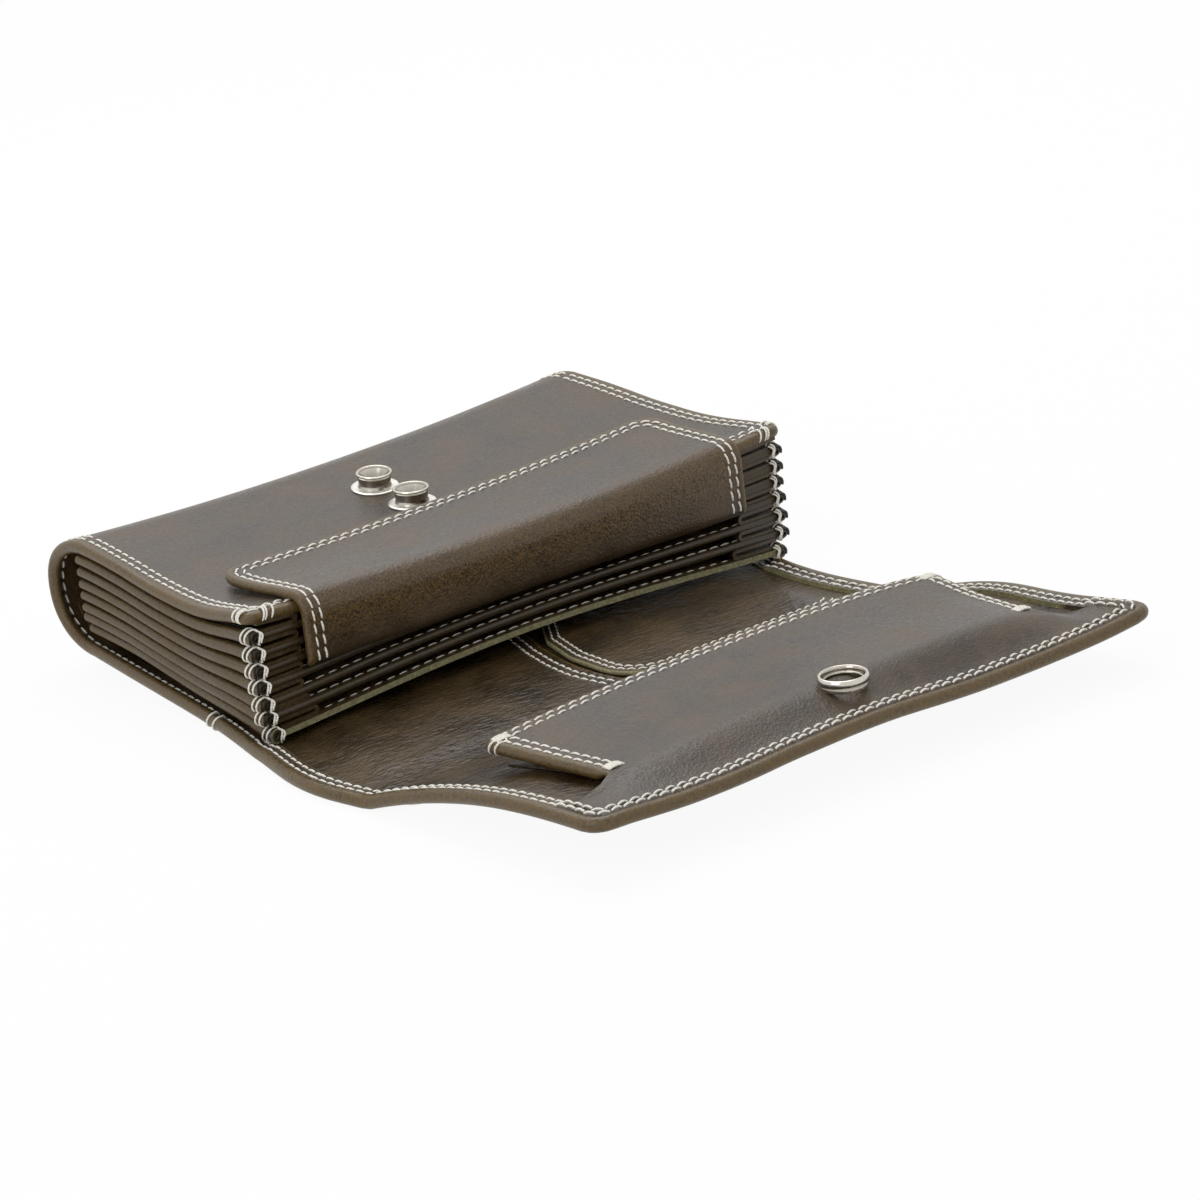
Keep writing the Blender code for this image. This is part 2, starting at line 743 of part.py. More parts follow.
def stud(depth):
    rim = STUD_HEIGHT - STUD_LIP
    profile = [
        (0, 0),
        (STUD_RADIUS - STUD_LIP, 0),
        (STUD_NECK_RADIUS, STUD_HEIGHT / 2),
        (STUD_RADIUS, rim),
        (STUD_RADIUS, STUD_HEIGHT - STUD_LIP / 2),
        (STUD_RADIUS - STUD_LIP / 2, STUD_HEIGHT),
        (STUD_RADIUS - STUD_LIP, STUD_HEIGHT - STUD_LIP / 2),
        (STUD_BOWL_RADIUS, STUD_HEIGHT - STUD_BOWL_DEPTH),
        (0, STUD_HEIGHT - STUD_BOWL_DEPTH),
    ]
    above = CLEARANCE + WASHER_THICKNESS + CLEARANCE
    return turned(profile, on_cover(depth, above), cover_tilt(depth))


def washer(depth):
    profile = [
        (WASHER_HOLE_RADIUS, 0),
        (WASHER_RADIUS, 0),
        (WASHER_RADIUS, WASHER_THICKNESS / 2),
        (WASHER_RADIUS - WASHER_THICKNESS / 2, WASHER_THICKNESS),
        (WASHER_HOLE_RADIUS, WASHER_THICKNESS),
    ]
    return turned(profile, on_cover(depth, CLEARANCE), cover_tilt(depth), ring=True)


def domed(radius, height):
    return [(0, 0), (radius, 0), (radius * 0.94, height * 0.55), (radius * 0.6, height * 0.92), (0, height)]


def stud_back(depth):
    return turned(domed(RIVET_RADIUS, RIVET_HEIGHT), on_cover(depth, -CLEARANCE), cover_tilt(depth) + math.pi)


def socket_base():
    return at(0, -SOCKET_AT, coin_middle(-SOCKET_AT) + COIN_HALF + CLEARANCE)


def snap_ring():
    """The socket: a rounded ring with a groove inside for its spring."""
    low, high = SOCKET_HEIGHT * 0.24, SOCKET_HEIGHT * 0.68
    profile = [
        (SOCKET_BORE, 0),
        (SOCKET_RADIUS, 0),
        (SOCKET_RADIUS, SOCKET_HEIGHT * 0.22),
        (SOCKET_RADIUS * 0.97, SOCKET_HEIGHT * 0.6),
        (SOCKET_RADIUS * 0.9, SOCKET_HEIGHT * 0.9),
        (SOCKET_RADIUS * 0.83, SOCKET_HEIGHT),
        (SOCKET_RADIUS * 0.77, SOCKET_HEIGHT * 0.96),
        (SOCKET_BORE, SOCKET_HEIGHT * 0.84),
        (SOCKET_BORE, high),
        (SOCKET_BORE + SOCKET_GROOVE, high),
        (SOCKET_BORE + SOCKET_GROOVE, low),
        (SOCKET_BORE, low),
    ]
    return turned(profile, socket_base(), ring=True)


def spring_ring():
    centre = STUD_RADIUS - SPRING_GRIP + SPRING_RADIUS
    height = SOCKET_HEIGHT * 0.46
    profile = []
    for k in range(6):
        turn = 2 * math.pi * k / 6
        profile.append((centre + SPRING_RADIUS * math.cos(turn), height + SPRING_RADIUS * math.sin(turn)))
    return turned(profile, socket_base(), ring=True)


def under_flap(across, depth, radius, height):
    slope = math.atan2(
        flap_underside(depth + SLOPE_STEP) - flap_underside(depth - SLOPE_STEP), 2 * SLOPE_STEP
    )
    place = at(across, depth, flap_underside(depth) - CLEARANCE)
    return turned(domed(radius, height), place, slope + math.pi)


def build():
    clear_scene()
    shell = material("cover leather", (0.16, 0.13, 0.10), 0.45)
    lining = material("wall leather", (0.09, 0.06, 0.035), 0.5)
    folded = material("gusset leather", (0.11, 0.08, 0.045), 0.5)
    nickel = material("nickel", (0.62, 0.60, 0.57), 0.25, metallic=1.0)
    steel = material("spring steel", (0.45, 0.44, 0.42), 0.3, metallic=1.0)

    root = Body("wallet", 0, 0)
    root.add("cover_back", cover_back(), shell)
    root.add("bottom_wall", wall(WALL_COUNT), lining)

    parent = root
    for number in range(WALL_COUNT - 1, 0, -1):
        for side, end in ((-1, "near"), (1, "far")):
            parent.add(f"gusset_{end}_{number}", gusset(number, side), folded)
        body = Body(f"compartment_{number}", TOP_DEPTH, HINGE_HEIGHT, parent)
        if number == 1:
            body.add("cover_top", cover_top(), shell)
        else:
            body.add(f"divider_{number}", wall(number), lining)
        if number == TONGUE_WALL:
            body.add("tongue_root", tongue_root(), shell)
            lifted = Body("tongue_lift", -TONGUE_PIVOT_AT, TONGUE_FOOT_HEIGHT, body)
            lifted.add("tongue", tongue(), shell)
        parent = body

    landing = closed_place(-SOCKET_AT, socket_base().z + SOCKET_HEIGHT / 2).x
    front_stud = landing + (COVER_HALF + WASHER_THICKNESS + STUD_HEIGHT / 2) * math.sin(cover_tilt(landing))
    for name, depth in (("front", front_stud), ("rear", front_stud - STUD_SPACING)):
        body.add(f"stud_{name}", stud(depth), nickel)
        body.add(f"washer_{name}", washer(depth), nickel)
        body.add(f"stud_back_{name}", stud_back(depth), nickel)

    front = Body("flap_fold", -FRONT_FOLD_AT, BEAD, root)
    front.add("flap_front", flap_front(), shell)
    split = -POCKET_SPLIT
    front.add(
        "slip_pocket_left",
        slip_pocket(
            lambda depth: body_edges(depth)[0] + POCKET_SIDE_INSET, lambda depth: split - CLEARANCE,
            LEFT_POCKET_END_AT,
        ),
        lining,
    )
    front.add(
        "slip_pocket_right",
        slip_pocket(
            lambda depth: split, lambda depth: body_edges(depth)[1] - POCKET_SIDE_INSET, RIGHT_POCKET_END_AT,
        ),
        lining,
    )

    end = Body("flap_wrap", -END_FOLD_AT, BEAD, front)
    end.add("flap_end", flap_end(), shell)
    end.add("coin_seat", coin_seat(), shell)
    end.add("snap_ring", snap_ring(), nickel)
    end.add("spring_ring", spring_ring(), steel)
    end.add("socket_cap", under_flap(0, -SOCKET_AT, SOCKET_CAP_RADIUS, SOCKET_CAP_HEIGHT), nickel)
    across = body_edges(-CAP_AT)[0] + CAP_INSET
    end.add("flap_cap", under_flap(across, -CAP_AT, CAP_RADIUS, CAP_HEIGHT), nickel)
    for side, name in ((-1, "near"), (1, "far")):
        end.add(f"coin_gusset_{name}", coin_gusset(side), folded)

    mouth = Body("coin_mouth", -COIN_HINGE_AT, COIN_PIVOT_HEIGHT, end)
    mouth.add("coin_panel", coin_panel(), shell)


build()
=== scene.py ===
"""Dresses the waiter wallet: turned-edge leather, gussets, stitching and snap hardware on the frame."""

import math

import bmesh
import bpy
import numpy as np
from mathutils import Matrix, Vector


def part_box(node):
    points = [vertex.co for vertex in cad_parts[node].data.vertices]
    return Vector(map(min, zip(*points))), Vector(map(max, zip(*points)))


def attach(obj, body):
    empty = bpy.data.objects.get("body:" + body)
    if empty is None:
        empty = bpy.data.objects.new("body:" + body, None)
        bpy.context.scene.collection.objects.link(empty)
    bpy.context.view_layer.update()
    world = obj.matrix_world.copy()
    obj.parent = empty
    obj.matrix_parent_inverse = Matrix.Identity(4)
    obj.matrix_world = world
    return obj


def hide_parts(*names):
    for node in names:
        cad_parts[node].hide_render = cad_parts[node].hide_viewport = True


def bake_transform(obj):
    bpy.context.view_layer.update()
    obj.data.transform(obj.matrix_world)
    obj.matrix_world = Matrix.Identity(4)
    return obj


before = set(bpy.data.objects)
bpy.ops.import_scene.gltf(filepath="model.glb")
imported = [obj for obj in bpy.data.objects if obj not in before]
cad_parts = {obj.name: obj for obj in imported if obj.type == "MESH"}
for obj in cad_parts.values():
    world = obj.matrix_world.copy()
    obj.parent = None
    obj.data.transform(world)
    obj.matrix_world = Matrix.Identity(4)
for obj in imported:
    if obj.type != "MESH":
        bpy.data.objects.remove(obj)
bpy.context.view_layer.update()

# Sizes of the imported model, in metres. Depth counts from the mouth, plus toward the spine
BODY_WIDTH = 0.180
SPINE_NARROWING = 0.0046
TOP_DEPTH = 0.092
SPINE_BULGE = 0.0200
SPINE_HEIGHT = 0.0416
SPINE_ROUNDNESS = 2.2
SIDE_LIFT = 0.0072
SIDE_LIFT_FROM_SHARE = 0.5
WALL_COUNT = 8
WALL_HALF = 0.00075
WALL_END = 0.0935
LOWEST_WALL_HEIGHT = 0.0035
LOWEST_WALL_INSET = 0.0012
LOWEST_WALL_ARCH = 0.0060
MOUTH_SPREAD = 0.0020
TONGUE_WALL = 4
COVER_HALF = 0.0010
BEAD = 0.0016
WALL_BEAD = 0.0014
MOUTH_BEAD = 0.0021
EDGE_BEAD = 0.0019
FLAP_LENGTH = 0.146
FLAP_FLARE = 0.0050
FLAP_FLARE_AT = 0.045
FLAP_END_NARROWING = 0.0040
END_FOLD = 0.0555
FLAP_RISE = 0.0132
FLAP_JOIN = 0.0310
TONGUE_INSET = 0.0155
TONGUE_DEPTH = 0.0388
TONGUE_DROP = 0.0030
TONGUE_FOOT = 0.0218
TONGUE_BEND = 0.0050
COIN_MOUTH = 0.0797
COIN_HINGE = 0.1240
COIN_HALF = 0.0007
HALF_WIDTH = BODY_WIDTH / 2
HINGE_HEIGHT = SPINE_HEIGHT - BEAD
MOUTH_Y = (FLAP_LENGTH - TOP_DEPTH - SPINE_BULGE) / 2

# Where the soft leather has moved away from the model's plain form, in metres
NEAR_BULGE, NEAR_BULGE_AT = 0.0062, -0.022
FAR_HOLLOW, FAR_HOLLOW_AT = 0.0078, -0.034
SIDE_REACH = 0.034
FAR_CORNER, FAR_CORNER_FROM, FAR_CORNER_OVER = 0.0035, 0.120, 0.026
FAR_LIFT, FAR_LIFT_REACH = 0.0008, 0.03
WALL_SPREAD_REACH = 0.022
LONG_BEAD, MOUTH_BEAD_REACH = 0.00175, 0.007
SEAT_END = 0.1432
COIN_LEVEL = 0.0166
COIN_CROWN, COIN_MIDDLE, COIN_LIFT, COIN_FAR_DROP = 0.0034, 0.006, 0.0004, 0.0010
NEAR_CROWN, FAR_CROWN = (0.082, 2.4), (0.070, 3.2)
COIN_NEAR_HALF, COIN_FAR_HALF, COIN_NEAR_TAPER, COIN_FAR_TAPER = 0.0760, 0.0742, 0.0050, 0.0037
SEAT_INSET, SEAT_CORNER, SEAT_LIFT, SEAT_DIVE = 0.0030, 0.0050, 0.0029, 0.0011
RIGHT_HEIGHT, RIGHT_LENGTH, RIGHT_INSET, RIGHT_HALF = 0.0029, 0.0560, 0.0090, 0.00065
LEFT_HEIGHT, LEFT_LENGTH, LEFT_INSET, LEFT_BEAD, LEFT_HALF = 0.0026, 0.0650, 0.0100, 0.0006, 0.0005
POCKET_START = 0.0110
STRIP, STRIP_ON_BASE = 0.0012, 0.0004
END_BEAD = 0.00115
TOUCH = 0.0001  # what keeps a thread or a metal piece just clear of the leather, or just in it

# Stitching
STITCH_PITCH = 0.0036
THREAD = 0.00031
ROW_INSETS = (0.0036, 0.0060)
TONGUE_ROWS, COIN_ROWS = (0.0028, 0.0052), (0.0026, 0.0050)
RIGHT_ROWS, LEFT_ROWS = (0.0022, 0.0044), (0.0030, 0.0056)
MARGIN = 0.0073
PRESSED, OVER_POUCH = 0.00020, 0.00085

# Sizes of the patterns in the finishes, in mm
CLOUD_MM, SPECK_MM, FINE_MM, FIBRE_MM, PLY_MM, HAZE_MM = 18, 1.1, 0.5, 0.7, 1.6, 2.4


def linear(code):
    """An sRGB hex colour as linear RGBA."""
    parts = [int(code[k : k + 2], 16) / 255 for k in (1, 3, 5)]
    return (*[p / 12.92 if p <= 0.04045 else ((p + 0.055) / 1.055) ** 2.4 for p in parts], 1.0)


def at(across, depth, height):
    return Vector((across, MOUTH_Y + depth, height))


def clamp(share):
    return min(1.0, max(0.0, share))


def smooth(share):
    share = clamp(share)
    return share * share * (3 - 2 * share)


def rises(place, start, over):
    """0 up to start, 1 from start + over on, and smooth between."""
    return smooth((place - start) / over)


def falls(place, end, over):
    """1 up to end - over, 0 from end on, and smooth between."""
    return smooth((end - place) / over)


def swell(place, middle, reach):
    return math.exp(-(((place - middle) / reach) ** 2))


def circle(count):
    return [2 * math.pi * k / count for k in range(count)]


def shown(name, data):
    """An object that is linked to the scene."""
    thing = bpy.data.objects.new(name, data)
    bpy.context.scene.collection.objects.link(thing)
    return thing


# Camera, light and floor

AZIMUTH, ELEVATION, ROLL = (math.radians(a) for a in (-35.58, 18.58, -6.91))
AIM, DISTANCE = at(0.01398, -0.01233, 0.01458), 1.2141
FLOOR_REACH, FLOOR_HEIGHT = 4.0, -0.0001
AMBIENT = 0.62
FLOOR_GLOW = 0.93
flat = math.cos(ELEVATION)
back = Vector((math.sin(AZIMUTH) * flat, -math.cos(AZIMUTH) * flat, math.sin(ELEVATION)))
level = Vector((math.cos(AZIMUTH), math.sin(AZIMUTH), 0))
upright = back.cross(level)
right = level * math.cos(ROLL) + upright * math.sin(ROLL)
above = upright * math.cos(ROLL) - level * math.sin(ROLL)
lens = bpy.data.cameras.new("camera")
lens.lens, lens.sensor_width = 134.33, 36
lens.clip_start, lens.clip_end = 0.05, 20
camera = shown("camera", lens)
turn = Matrix((right, above, back)).transposed().to_4x4()
camera.matrix_world = Matrix.Translation(AIM + back * DISTANCE) @ turn
bpy.context.scene.camera = camera
bpy.context.scene.view_settings.view_transform = "Standard"


def add(tree, kind, settings=None, links=None, **values):
    """Adds a node, sets its properties and sockets, and links outputs of other nodes into its sockets."""
    node = tree.nodes.new(kind)
    for key, value in (settings or {}).items():
        setattr(node, key, value)
    for key, value in values.items():
        name = key.replace("_", " ")
        node.inputs[int(key[1:]) if key[0] == "i" and key[1:].isdigit() else name].default_value = value
    for key, source in (links or {}).items():
        tree.links.new(source, node.inputs[key])
    return node


def reckon(tree, operation, *terms):
    """A sum of sockets and numbers."""
    links = {k: term for k, term in enumerate(terms) if not isinstance(term, (int, float))}
    numbers = {f"i{k}": term for k, term in enumerate(terms) if k not in links}
    return add(tree, "ShaderNodeMath", {"operation": operation}, links, **numbers).outputs[0]


def ray_share(tree):
    """1 for what the camera or a reflection sees, 0 for light that falls on the object."""
    path = add(tree, "ShaderNodeLightPath").outputs
    share = reckon(tree, "MAXIMUM", path["Is Camera Ray"], path["Is Glossy Ray"])
    return reckon(tree, "MAXIMUM", share, path["Is Transmission Ray"])


def emptied(holder):
    holder.use_nodes = True
    holder.node_tree.nodes.clear()
    return holder.node_tree


def finished(tree, output, share, first, second):
    mixed = add(tree, "ShaderNodeMixShader", None, {0: share, 1: first.outputs[0], 2: second.outputs[0]})
    add(tree, output, None, {"Surface": mixed.outputs[0]})


white = linear("#ffffff")
world = bpy.data.worlds.new("studio")
bpy.context.scene.world = world
tree = emptied(world)
bright = add(tree, "ShaderNodeBackground", Color=white, Strength=1.0)
dim = add(tree, "ShaderNodeBackground", Color=white, Strength=AMBIENT)
finished(tree, "ShaderNodeOutputWorld", ray_share(tree), dim, bright)

floor_mesh = bpy.data.meshes.new("floor")
corners = [(x * FLOOR_REACH, y * FLOOR_REACH, FLOOR_HEIGHT) for x, y in ((-1, -1), (1, -1), (1, 1), (-1, 1))]
floor_mesh.from_pydata(corners, [], [(0, 1, 2, 3)])
floor = shown("floor", floor_mesh)
paper = bpy.data.materials.new("white paper sweep")
tree = emptied(paper)
matt = add(tree, "ShaderNodeBsdfDiffuse", Color=linear("#f4f4f4"))
glow = add(tree, "ShaderNodeEmission", Color=white, Strength=1.0)
finished(tree, "ShaderNodeOutputMaterial", reckon(tree, "MULTIPLY", ray_share(tree), FLOOR_GLOW), matt, glow)
floor.data.materials.append(paper)


def softbox(name, place, aim, size, power):
    light = bpy.data.lights.new(name, "AREA")
    light.shape, light.size, light.energy = "SQUARE", size, power
    lamp = shown(name, light)
    lamp.location = place
    lamp.rotation_euler = (Vector(aim) - Vector(place)).to_track_quat("-Z", "Y").to_euler()


softbox("top softbox", (0.25, 0.55, 1.15), (0, 0, 0), 0.9, 7.0)
softbox("left softbox", (-1.1, -0.3, 0.75), (0, 0, 0.02), 0.7, 3.2)


# Finishes

def finish_of(name, metallic=0.0, roughness=0.5):
    made = bpy.data.materials.new(name)
    made.use_nodes = True
    tree = made.node_tree
    shader = tree.nodes["Principled BSDF"]
    shader.inputs["Metallic"].default_value = metallic
    shader.inputs["Roughness"].default_value = roughness
    return made, tree, shader, add(tree, "ShaderNodeTexCoord").outputs["Object"]


def noise(tree, place, size_mm, detail, roughness=0.5, distortion=0.0):
    """Noise whose coarsest blots are about size_mm across."""
    return add(
        tree, "ShaderNodeTexNoise", None, {"Vector": place},
        Scale=1000 / size_mm, Detail=detail, Roughness=roughness, Distortion=distortion,
    ).outputs[0]


def spread(tree, source, low, high, start=0.0, stop=1.0):
    """Spreads what lies between low and high over start to stop."""
    return add(tree, "ShaderNodeMapRange", None, {0: source}, i1=low, i2=high, i3=start, i4=stop).outputs[0]


def between(tree, share, first, second):
    """A colour between two, each of them a hex code or a socket."""
    links, plain = {0: share}, {}
    for place, colour in ((6, first), (7, second)):
        if isinstance(colour, str):
            plain[f"i{place}"] = linear(colour)
        else:
            links[place] = colour
    return add(tree, "ShaderNodeMix", {"data_type": "RGBA"}, links, **plain).outputs[2]


def told(tree, name):
    """A value that the mesh's points carry."""
    return add(tree, "ShaderNodeAttribute", {"attribute_name": name}).outputs["Fac"]


def surfaced(tree, shader, colour, height, strength, bump_mm):
    """Sets the colour and a relief."""
    tree.links.new(colour, shader.inputs["Base Color"])
    bump = add(tree, "ShaderNodeBump", None, {"Height": height}, Strength=strength, Distance=bump_mm / 1000)
    tree.links.new(bump.outputs[0], shader.inputs["Normal"])


def leather(name, deep, mid, rim, grain_mm, crease, gloss, bump_mm):
    """Waxed calf leather, full grain: pores and fine creases, cloudy dye, and lighter golden bead edges that
    are partly burnish rubbed in by hand and partly a painted highlight.
    """
    made, tree, shader, place = finish_of(name)
    stretched = add(tree, "ShaderNodeMapping", None, {"Vector": place}, Scale=(crease, 1.0, 1.0)).outputs[0]
    cloud = noise(tree, place, CLOUD_MM, 5.0, 0.6)
    speck = noise(tree, stretched, SPECK_MM, 4.0, 0.7)
    wrinkle = noise(tree, stretched, grain_mm * 3.2, 6.0, 0.65, 0.6)
    fine = noise(tree, place, FINE_MM, 4.0, 0.7)
    pore = add(
        tree, "ShaderNodeTexVoronoi", {"feature": "F1"}, {"Vector": stretched},
        Scale=1000 / grain_mm, Randomness=0.9,
    )
    dye = between(tree, spread(tree, cloud, 0.34, 0.66), deep, mid)
    # The beads' lighter colour: part real edge burnish, part painted highlight on their lit tops.
    burnish_and_highlight_share = reckon(tree, "MULTIPLY", told(tree, "rim"), spread(tree, speck, 0.40, 0.62, 0.35, 1.0))
    burnt = between(tree, spread(tree, fine, 0.38, 0.64), "#1f160a", "#765c33")
    colour = between(tree, told(tree, "wear"), between(tree, burnish_and_highlight_share, dye, rim), burnt)
    colour = between(tree, told(tree, "raw"), colour, "#8d8762")
    haze = reckon(tree, "ADD", speck, cloud)
    tree.links.new(spread(tree, haze, 0.75, 1.25, gloss - 0.10, gloss + 0.14), shader.inputs["Roughness"])
    height = reckon(tree, "MULTIPLY_ADD", wrinkle, 2.2, pore.outputs["Distance"])
    surfaced(tree, shader, colour, height, 1.0, bump_mm)
    return made


def cut_leather():
    """Cut leather edge: pale khaki fibres, dry and matt."""
    made, tree, shader, place = finish_of("cut leather edge", roughness=0.85)
    fibre = noise(tree, place, FIBRE_MM, 6.0, 0.7)
    colour = between(tree, spread(tree, fibre, 0.35, 0.65), "#6c6748", "#a39d78")
    surfaced(tree, shader, colour, fibre, 1.0, 0.2)
    return made


def waxed_thread():
    """Waxed polyester thread: cream, three plies twisted, so that fine slanted ribs show."""
    made, tree, shader, place = finish_of("waxed thread", roughness=0.6)
    ply = add(
        tree, "ShaderNodeTexWave", {"bands_direction": "DIAGONAL"}, {"Vector": place},
        Scale=1000 / PLY_MM, Distortion=1.0,
    ).outputs["Fac"]
    surfaced(tree, shader, between(tree, ply, "#ece6d6", "#fffdf7"), ply, 0.6, 0.1)
    return made


def plated(name, dark, light, roughness):
    """Nickel plate on turned brass: bright, its colour blotched lighter and darker by noise as a painted
    reflection, the same noise varying its roughness like handling haze, and painted shade mixed in where the
    points carry it.
    """
    made, tree, shader, place = finish_of(name, metallic=1.0)
    haze = noise(tree, place, HAZE_MM, 5.0)
    # Noise blots the plate lighter and darker as a painted reflection; the shade attribute mixes in painted
    # shade, a dark brass-brown.
    colour = between(tree, told(tree, "shade"), between(tree, haze, dark, light), "#4a3d2a")
    rough = spread(tree, haze, 0.3, 0.7, roughness - 0.05, roughness + 0.08)
    tree.links.new(rough, shader.inputs["Roughness"])
    surfaced(tree, shader, colour, haze, 0.3, 0.03)
    return made


smooth_calf = leather(
    "waxed calf leather", "#281e10", "#4f3f2c", "#624d22", grain_mm=0.8, crease=1.0, gloss=0.36, bump_mm=0.09
)
grained_calf = leather(
    "grained calf lining", "#281c0b", "#4c3b1f", "#6c5726", grain_mm=1.5, crease=0.5, gloss=0.40, bump_mm=0.36
)
# Darker than the cover's calf: part of that darkness is painted shade for the deep gaps between the walls,
# where these pieces sit.
shade_darkened_fold_calf = leather(
    "thin gusset calf darkened for shade", "#1a1308", "#2f2411", "#5c4822", grain_mm=0.7, crease=1.0, gloss=0.42, bump_mm=0.06
)
cut_edge = cut_leather()
thread = waxed_thread()
nickel = plated("nickel plate", "#b9b3a8", "#dcd7cd", 0.17)
bright_nickel = plated("pale nickel washer", "#cfccc5", "#eeebe4", 0.30)
spring_steel = plated("spring wire", "#9b958a", "#c4beb2", 0.22)


# The wallet's form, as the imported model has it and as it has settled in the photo

def body_edges(depth):
    """Where the cover's sides lie. The flap has settled a little toward its near end."""
    half, narrowed = HALF_WIDTH, 0.0
    if depth >= 0:
        narrowed = SPINE_NARROWING * min(1.0, depth / TOP_DEPTH)
    else:
        half = HALF_WIDTH + FLAP_FLARE * smooth(-depth / FLAP_FLARE_AT)
        half -= FLAP_END_NARROWING * rises(-depth, FLAP_FLARE_AT, FLAP_LENGTH - FLAP_FLARE_AT)
    near = NEAR_BULGE * swell(depth, NEAR_BULGE_AT, SIDE_REACH)
    far = FAR_CORNER * rises(-depth, FAR_CORNER_FROM, FAR_CORNER_OVER)
    far -= FAR_HOLLOW * swell(depth, FAR_HOLLOW_AT, SIDE_REACH)
    return narrowed - half - near, half + far


def side_lift(across, depth):
    aside = (abs(across) / HALF_WIDTH - SIDE_LIFT_FROM_SHARE) / (1 - SIDE_LIFT_FROM_SHARE)
    return SIDE_LIFT * clamp(depth / TOP_DEPTH) ** 1.5 * max(0.0, aside)


def curve(knots, place):
    """A smooth curve through (place, value) knots."""
    if place <= knots[0][0]:
        return knots[0][1]
    if place >= knots[-1][0]:
        return knots[-1][1]
    k = next(k for k in range(len(knots) - 1) if place <= knots[k + 1][0])

    def slope(j):
        (p0, h0), (p1, h1) = knots[max(0, j - 1)], knots[min(len(knots) - 1, j + 1)]
        return (h1 - h0) / (p1 - p0)

    (p0, h0), (p1, h1) = knots[k], knots[k + 1]
    span = p1 - p0
    share = (place - p0) / span
    rest = 1 - share
    return (
        h0 * rest * rest * (1 + 2 * share) + h1 * share * share * (3 - 2 * share)
        + span * share * rest * (slope(k) * rest - slope(k + 1) * share)
    )


# In mm over the depth: the cover's upper face near, far and in the middle, and the lowest wall's sides
NEAR_TOP = [(0, 39.0), (10, 37.9), (18, 36.6), (27, 35.6), (35, 35.5), (43, 35.9), (51, 36.5), (60, 37.5),
            (68, 38.6), (74, 39.2), (82, 40.0), (92, 40.6)]
FAR_TOP = [(0, 41.0), (10, 40.7), (22, 40.2), (33, 40.2), (43, 40.6), (55, 41.2), (66, 42.1), (77, 42.9),
           (92, 43.6)]
MIDDLE_TOP = [(0, 36.4), (25, 35.2), (51, 34.9), (70, 36.4), (92, 38.7)]
LOWEST_SIDE = [(0, 4.8), (15, 7.2), (35, 9.2), (50, 11.1), (70, 13.6), (92, 15.0)]
# In mm across the flap: how far its turned end lies above or below the plain form
END_WAVE = [(-90, -0.7), (-82, -0.5), (-72, -1.2), (-62, -1.8), (-50, -1.9), (-41, -1.7), (-28, -1.0),
            (0, -0.6), (24, -1.9), (34, -2.3), (55, -2.4), (75, -1.9), (90, -0.7)]
# For each wall: how far down the stack it lies at its ends, and how far its far end stands out at the mouth
NEAR_SHARES = (0, 0.183, 0.329, 0.469, 0.602, 0.743, 0.855, 1)
FAR_SHARES = (0, 0.168, 0.306, 0.435, 0.568, 0.715, 0.855, 1)
FAR_REACH = (0.0030, 0.0013, 0.0011, 0.0007, 0.0006, 0.0002, -0.0003, -0.0010)


def wall_share(number, across):
    plain = (number - 1) / (WALL_COUNT - 1)
    shares = NEAR_SHARES if across < 0 else FAR_SHARES
    return plain + (shares[number - 1] - plain) * smooth(abs(across) / HALF_WIDTH * 2 - 1)


def wall_edges(number, depth):
    narrowed = SPINE_NARROWING * clamp(depth / TOP_DEPTH)
    inset = LOWEST_WALL_INSET if number == WALL_COUNT else 0.0
    reach = FAR_REACH[number - 1] * swell(max(0.0, depth), 0.0, WALL_SPREAD_REACH)
    return inset + narrowed - HALF_WIDTH, HALF_WIDTH - inset + reach


def wall_front(number):
    return -MOUTH_SPREAD * max(0, number - TONGUE_WALL) / (WALL_COUNT - TONGUE_WALL)


def wall_height(number, across, depth):
    """The middle of a wall's leather. The cover's top is wall 1."""
    place = depth * 1000
    aside = min(1.0, abs(across) / HALF_WIDTH)
    near, far = curve(NEAR_TOP, place), curve(FAR_TOP, place)
    edge = near + (far - near) * (across / HALF_WIDTH + 1) / 2
    top = edge + (curve(MIDDLE_TOP, place) - (near + far) / 2) * (1 - aside**2)
    top = top / 1000 - COVER_HALF
    lifted = FAR_LIFT * swell(max(0.0, depth), 0.0, FAR_LIFT_REACH) if across > 0 else 0.0
    side = curve(LOWEST_SIDE, place) / 1000 + lifted * aside
    middle = LOWEST_WALL_HEIGHT + LOWEST_WALL_ARCH * (1 - clamp(depth / TOP_DEPTH) ** 2)
    lowest = side + (middle - side) * (1 - aside**2) ** 1.5
    return top + (lowest - top) * wall_share(number, across)


def flap_underside(depth):
    along = clamp((-depth - END_FOLD) / (FLAP_LENGTH - END_FOLD))
    return FLAP_RISE * (1 - (1 - along) ** 2.2)


def end_wave(across, depth):
    """The flap's end is wavy, and its far side dips before the end."""
    dip = 0.0014 * swell(depth, -0.110, 0.018) * rises(across, 0.060, 0.020)
    return curve(END_WAVE, across * 1000) / 1000 * rises(-depth, 0.095, 0.042) - dip


def flap_middle(depth):
    return flap_underside(depth) + COVER_HALF


SLOPE_STEP = 0.0004


def rise_over_step(height_of, depth):
    return height_of(depth + SLOPE_STEP / 2) - height_of(depth - SLOPE_STEP / 2)


def surface_path(start, height_of):
    """A path toward the flap's end along a surface."""
    def path(t):
        depth = start - t
        rise = rise_over_step(height_of, depth) / SLOPE_STEP
        lean = math.hypot(1, rise)
        return depth, height_of(depth), -rise / lean, 1 / lean

    return path


def upright_path(start, height_of):
    """The same with a normal that stays upright."""
    return lambda t: (start - t, height_of(start - t), 0.0, 1.0)


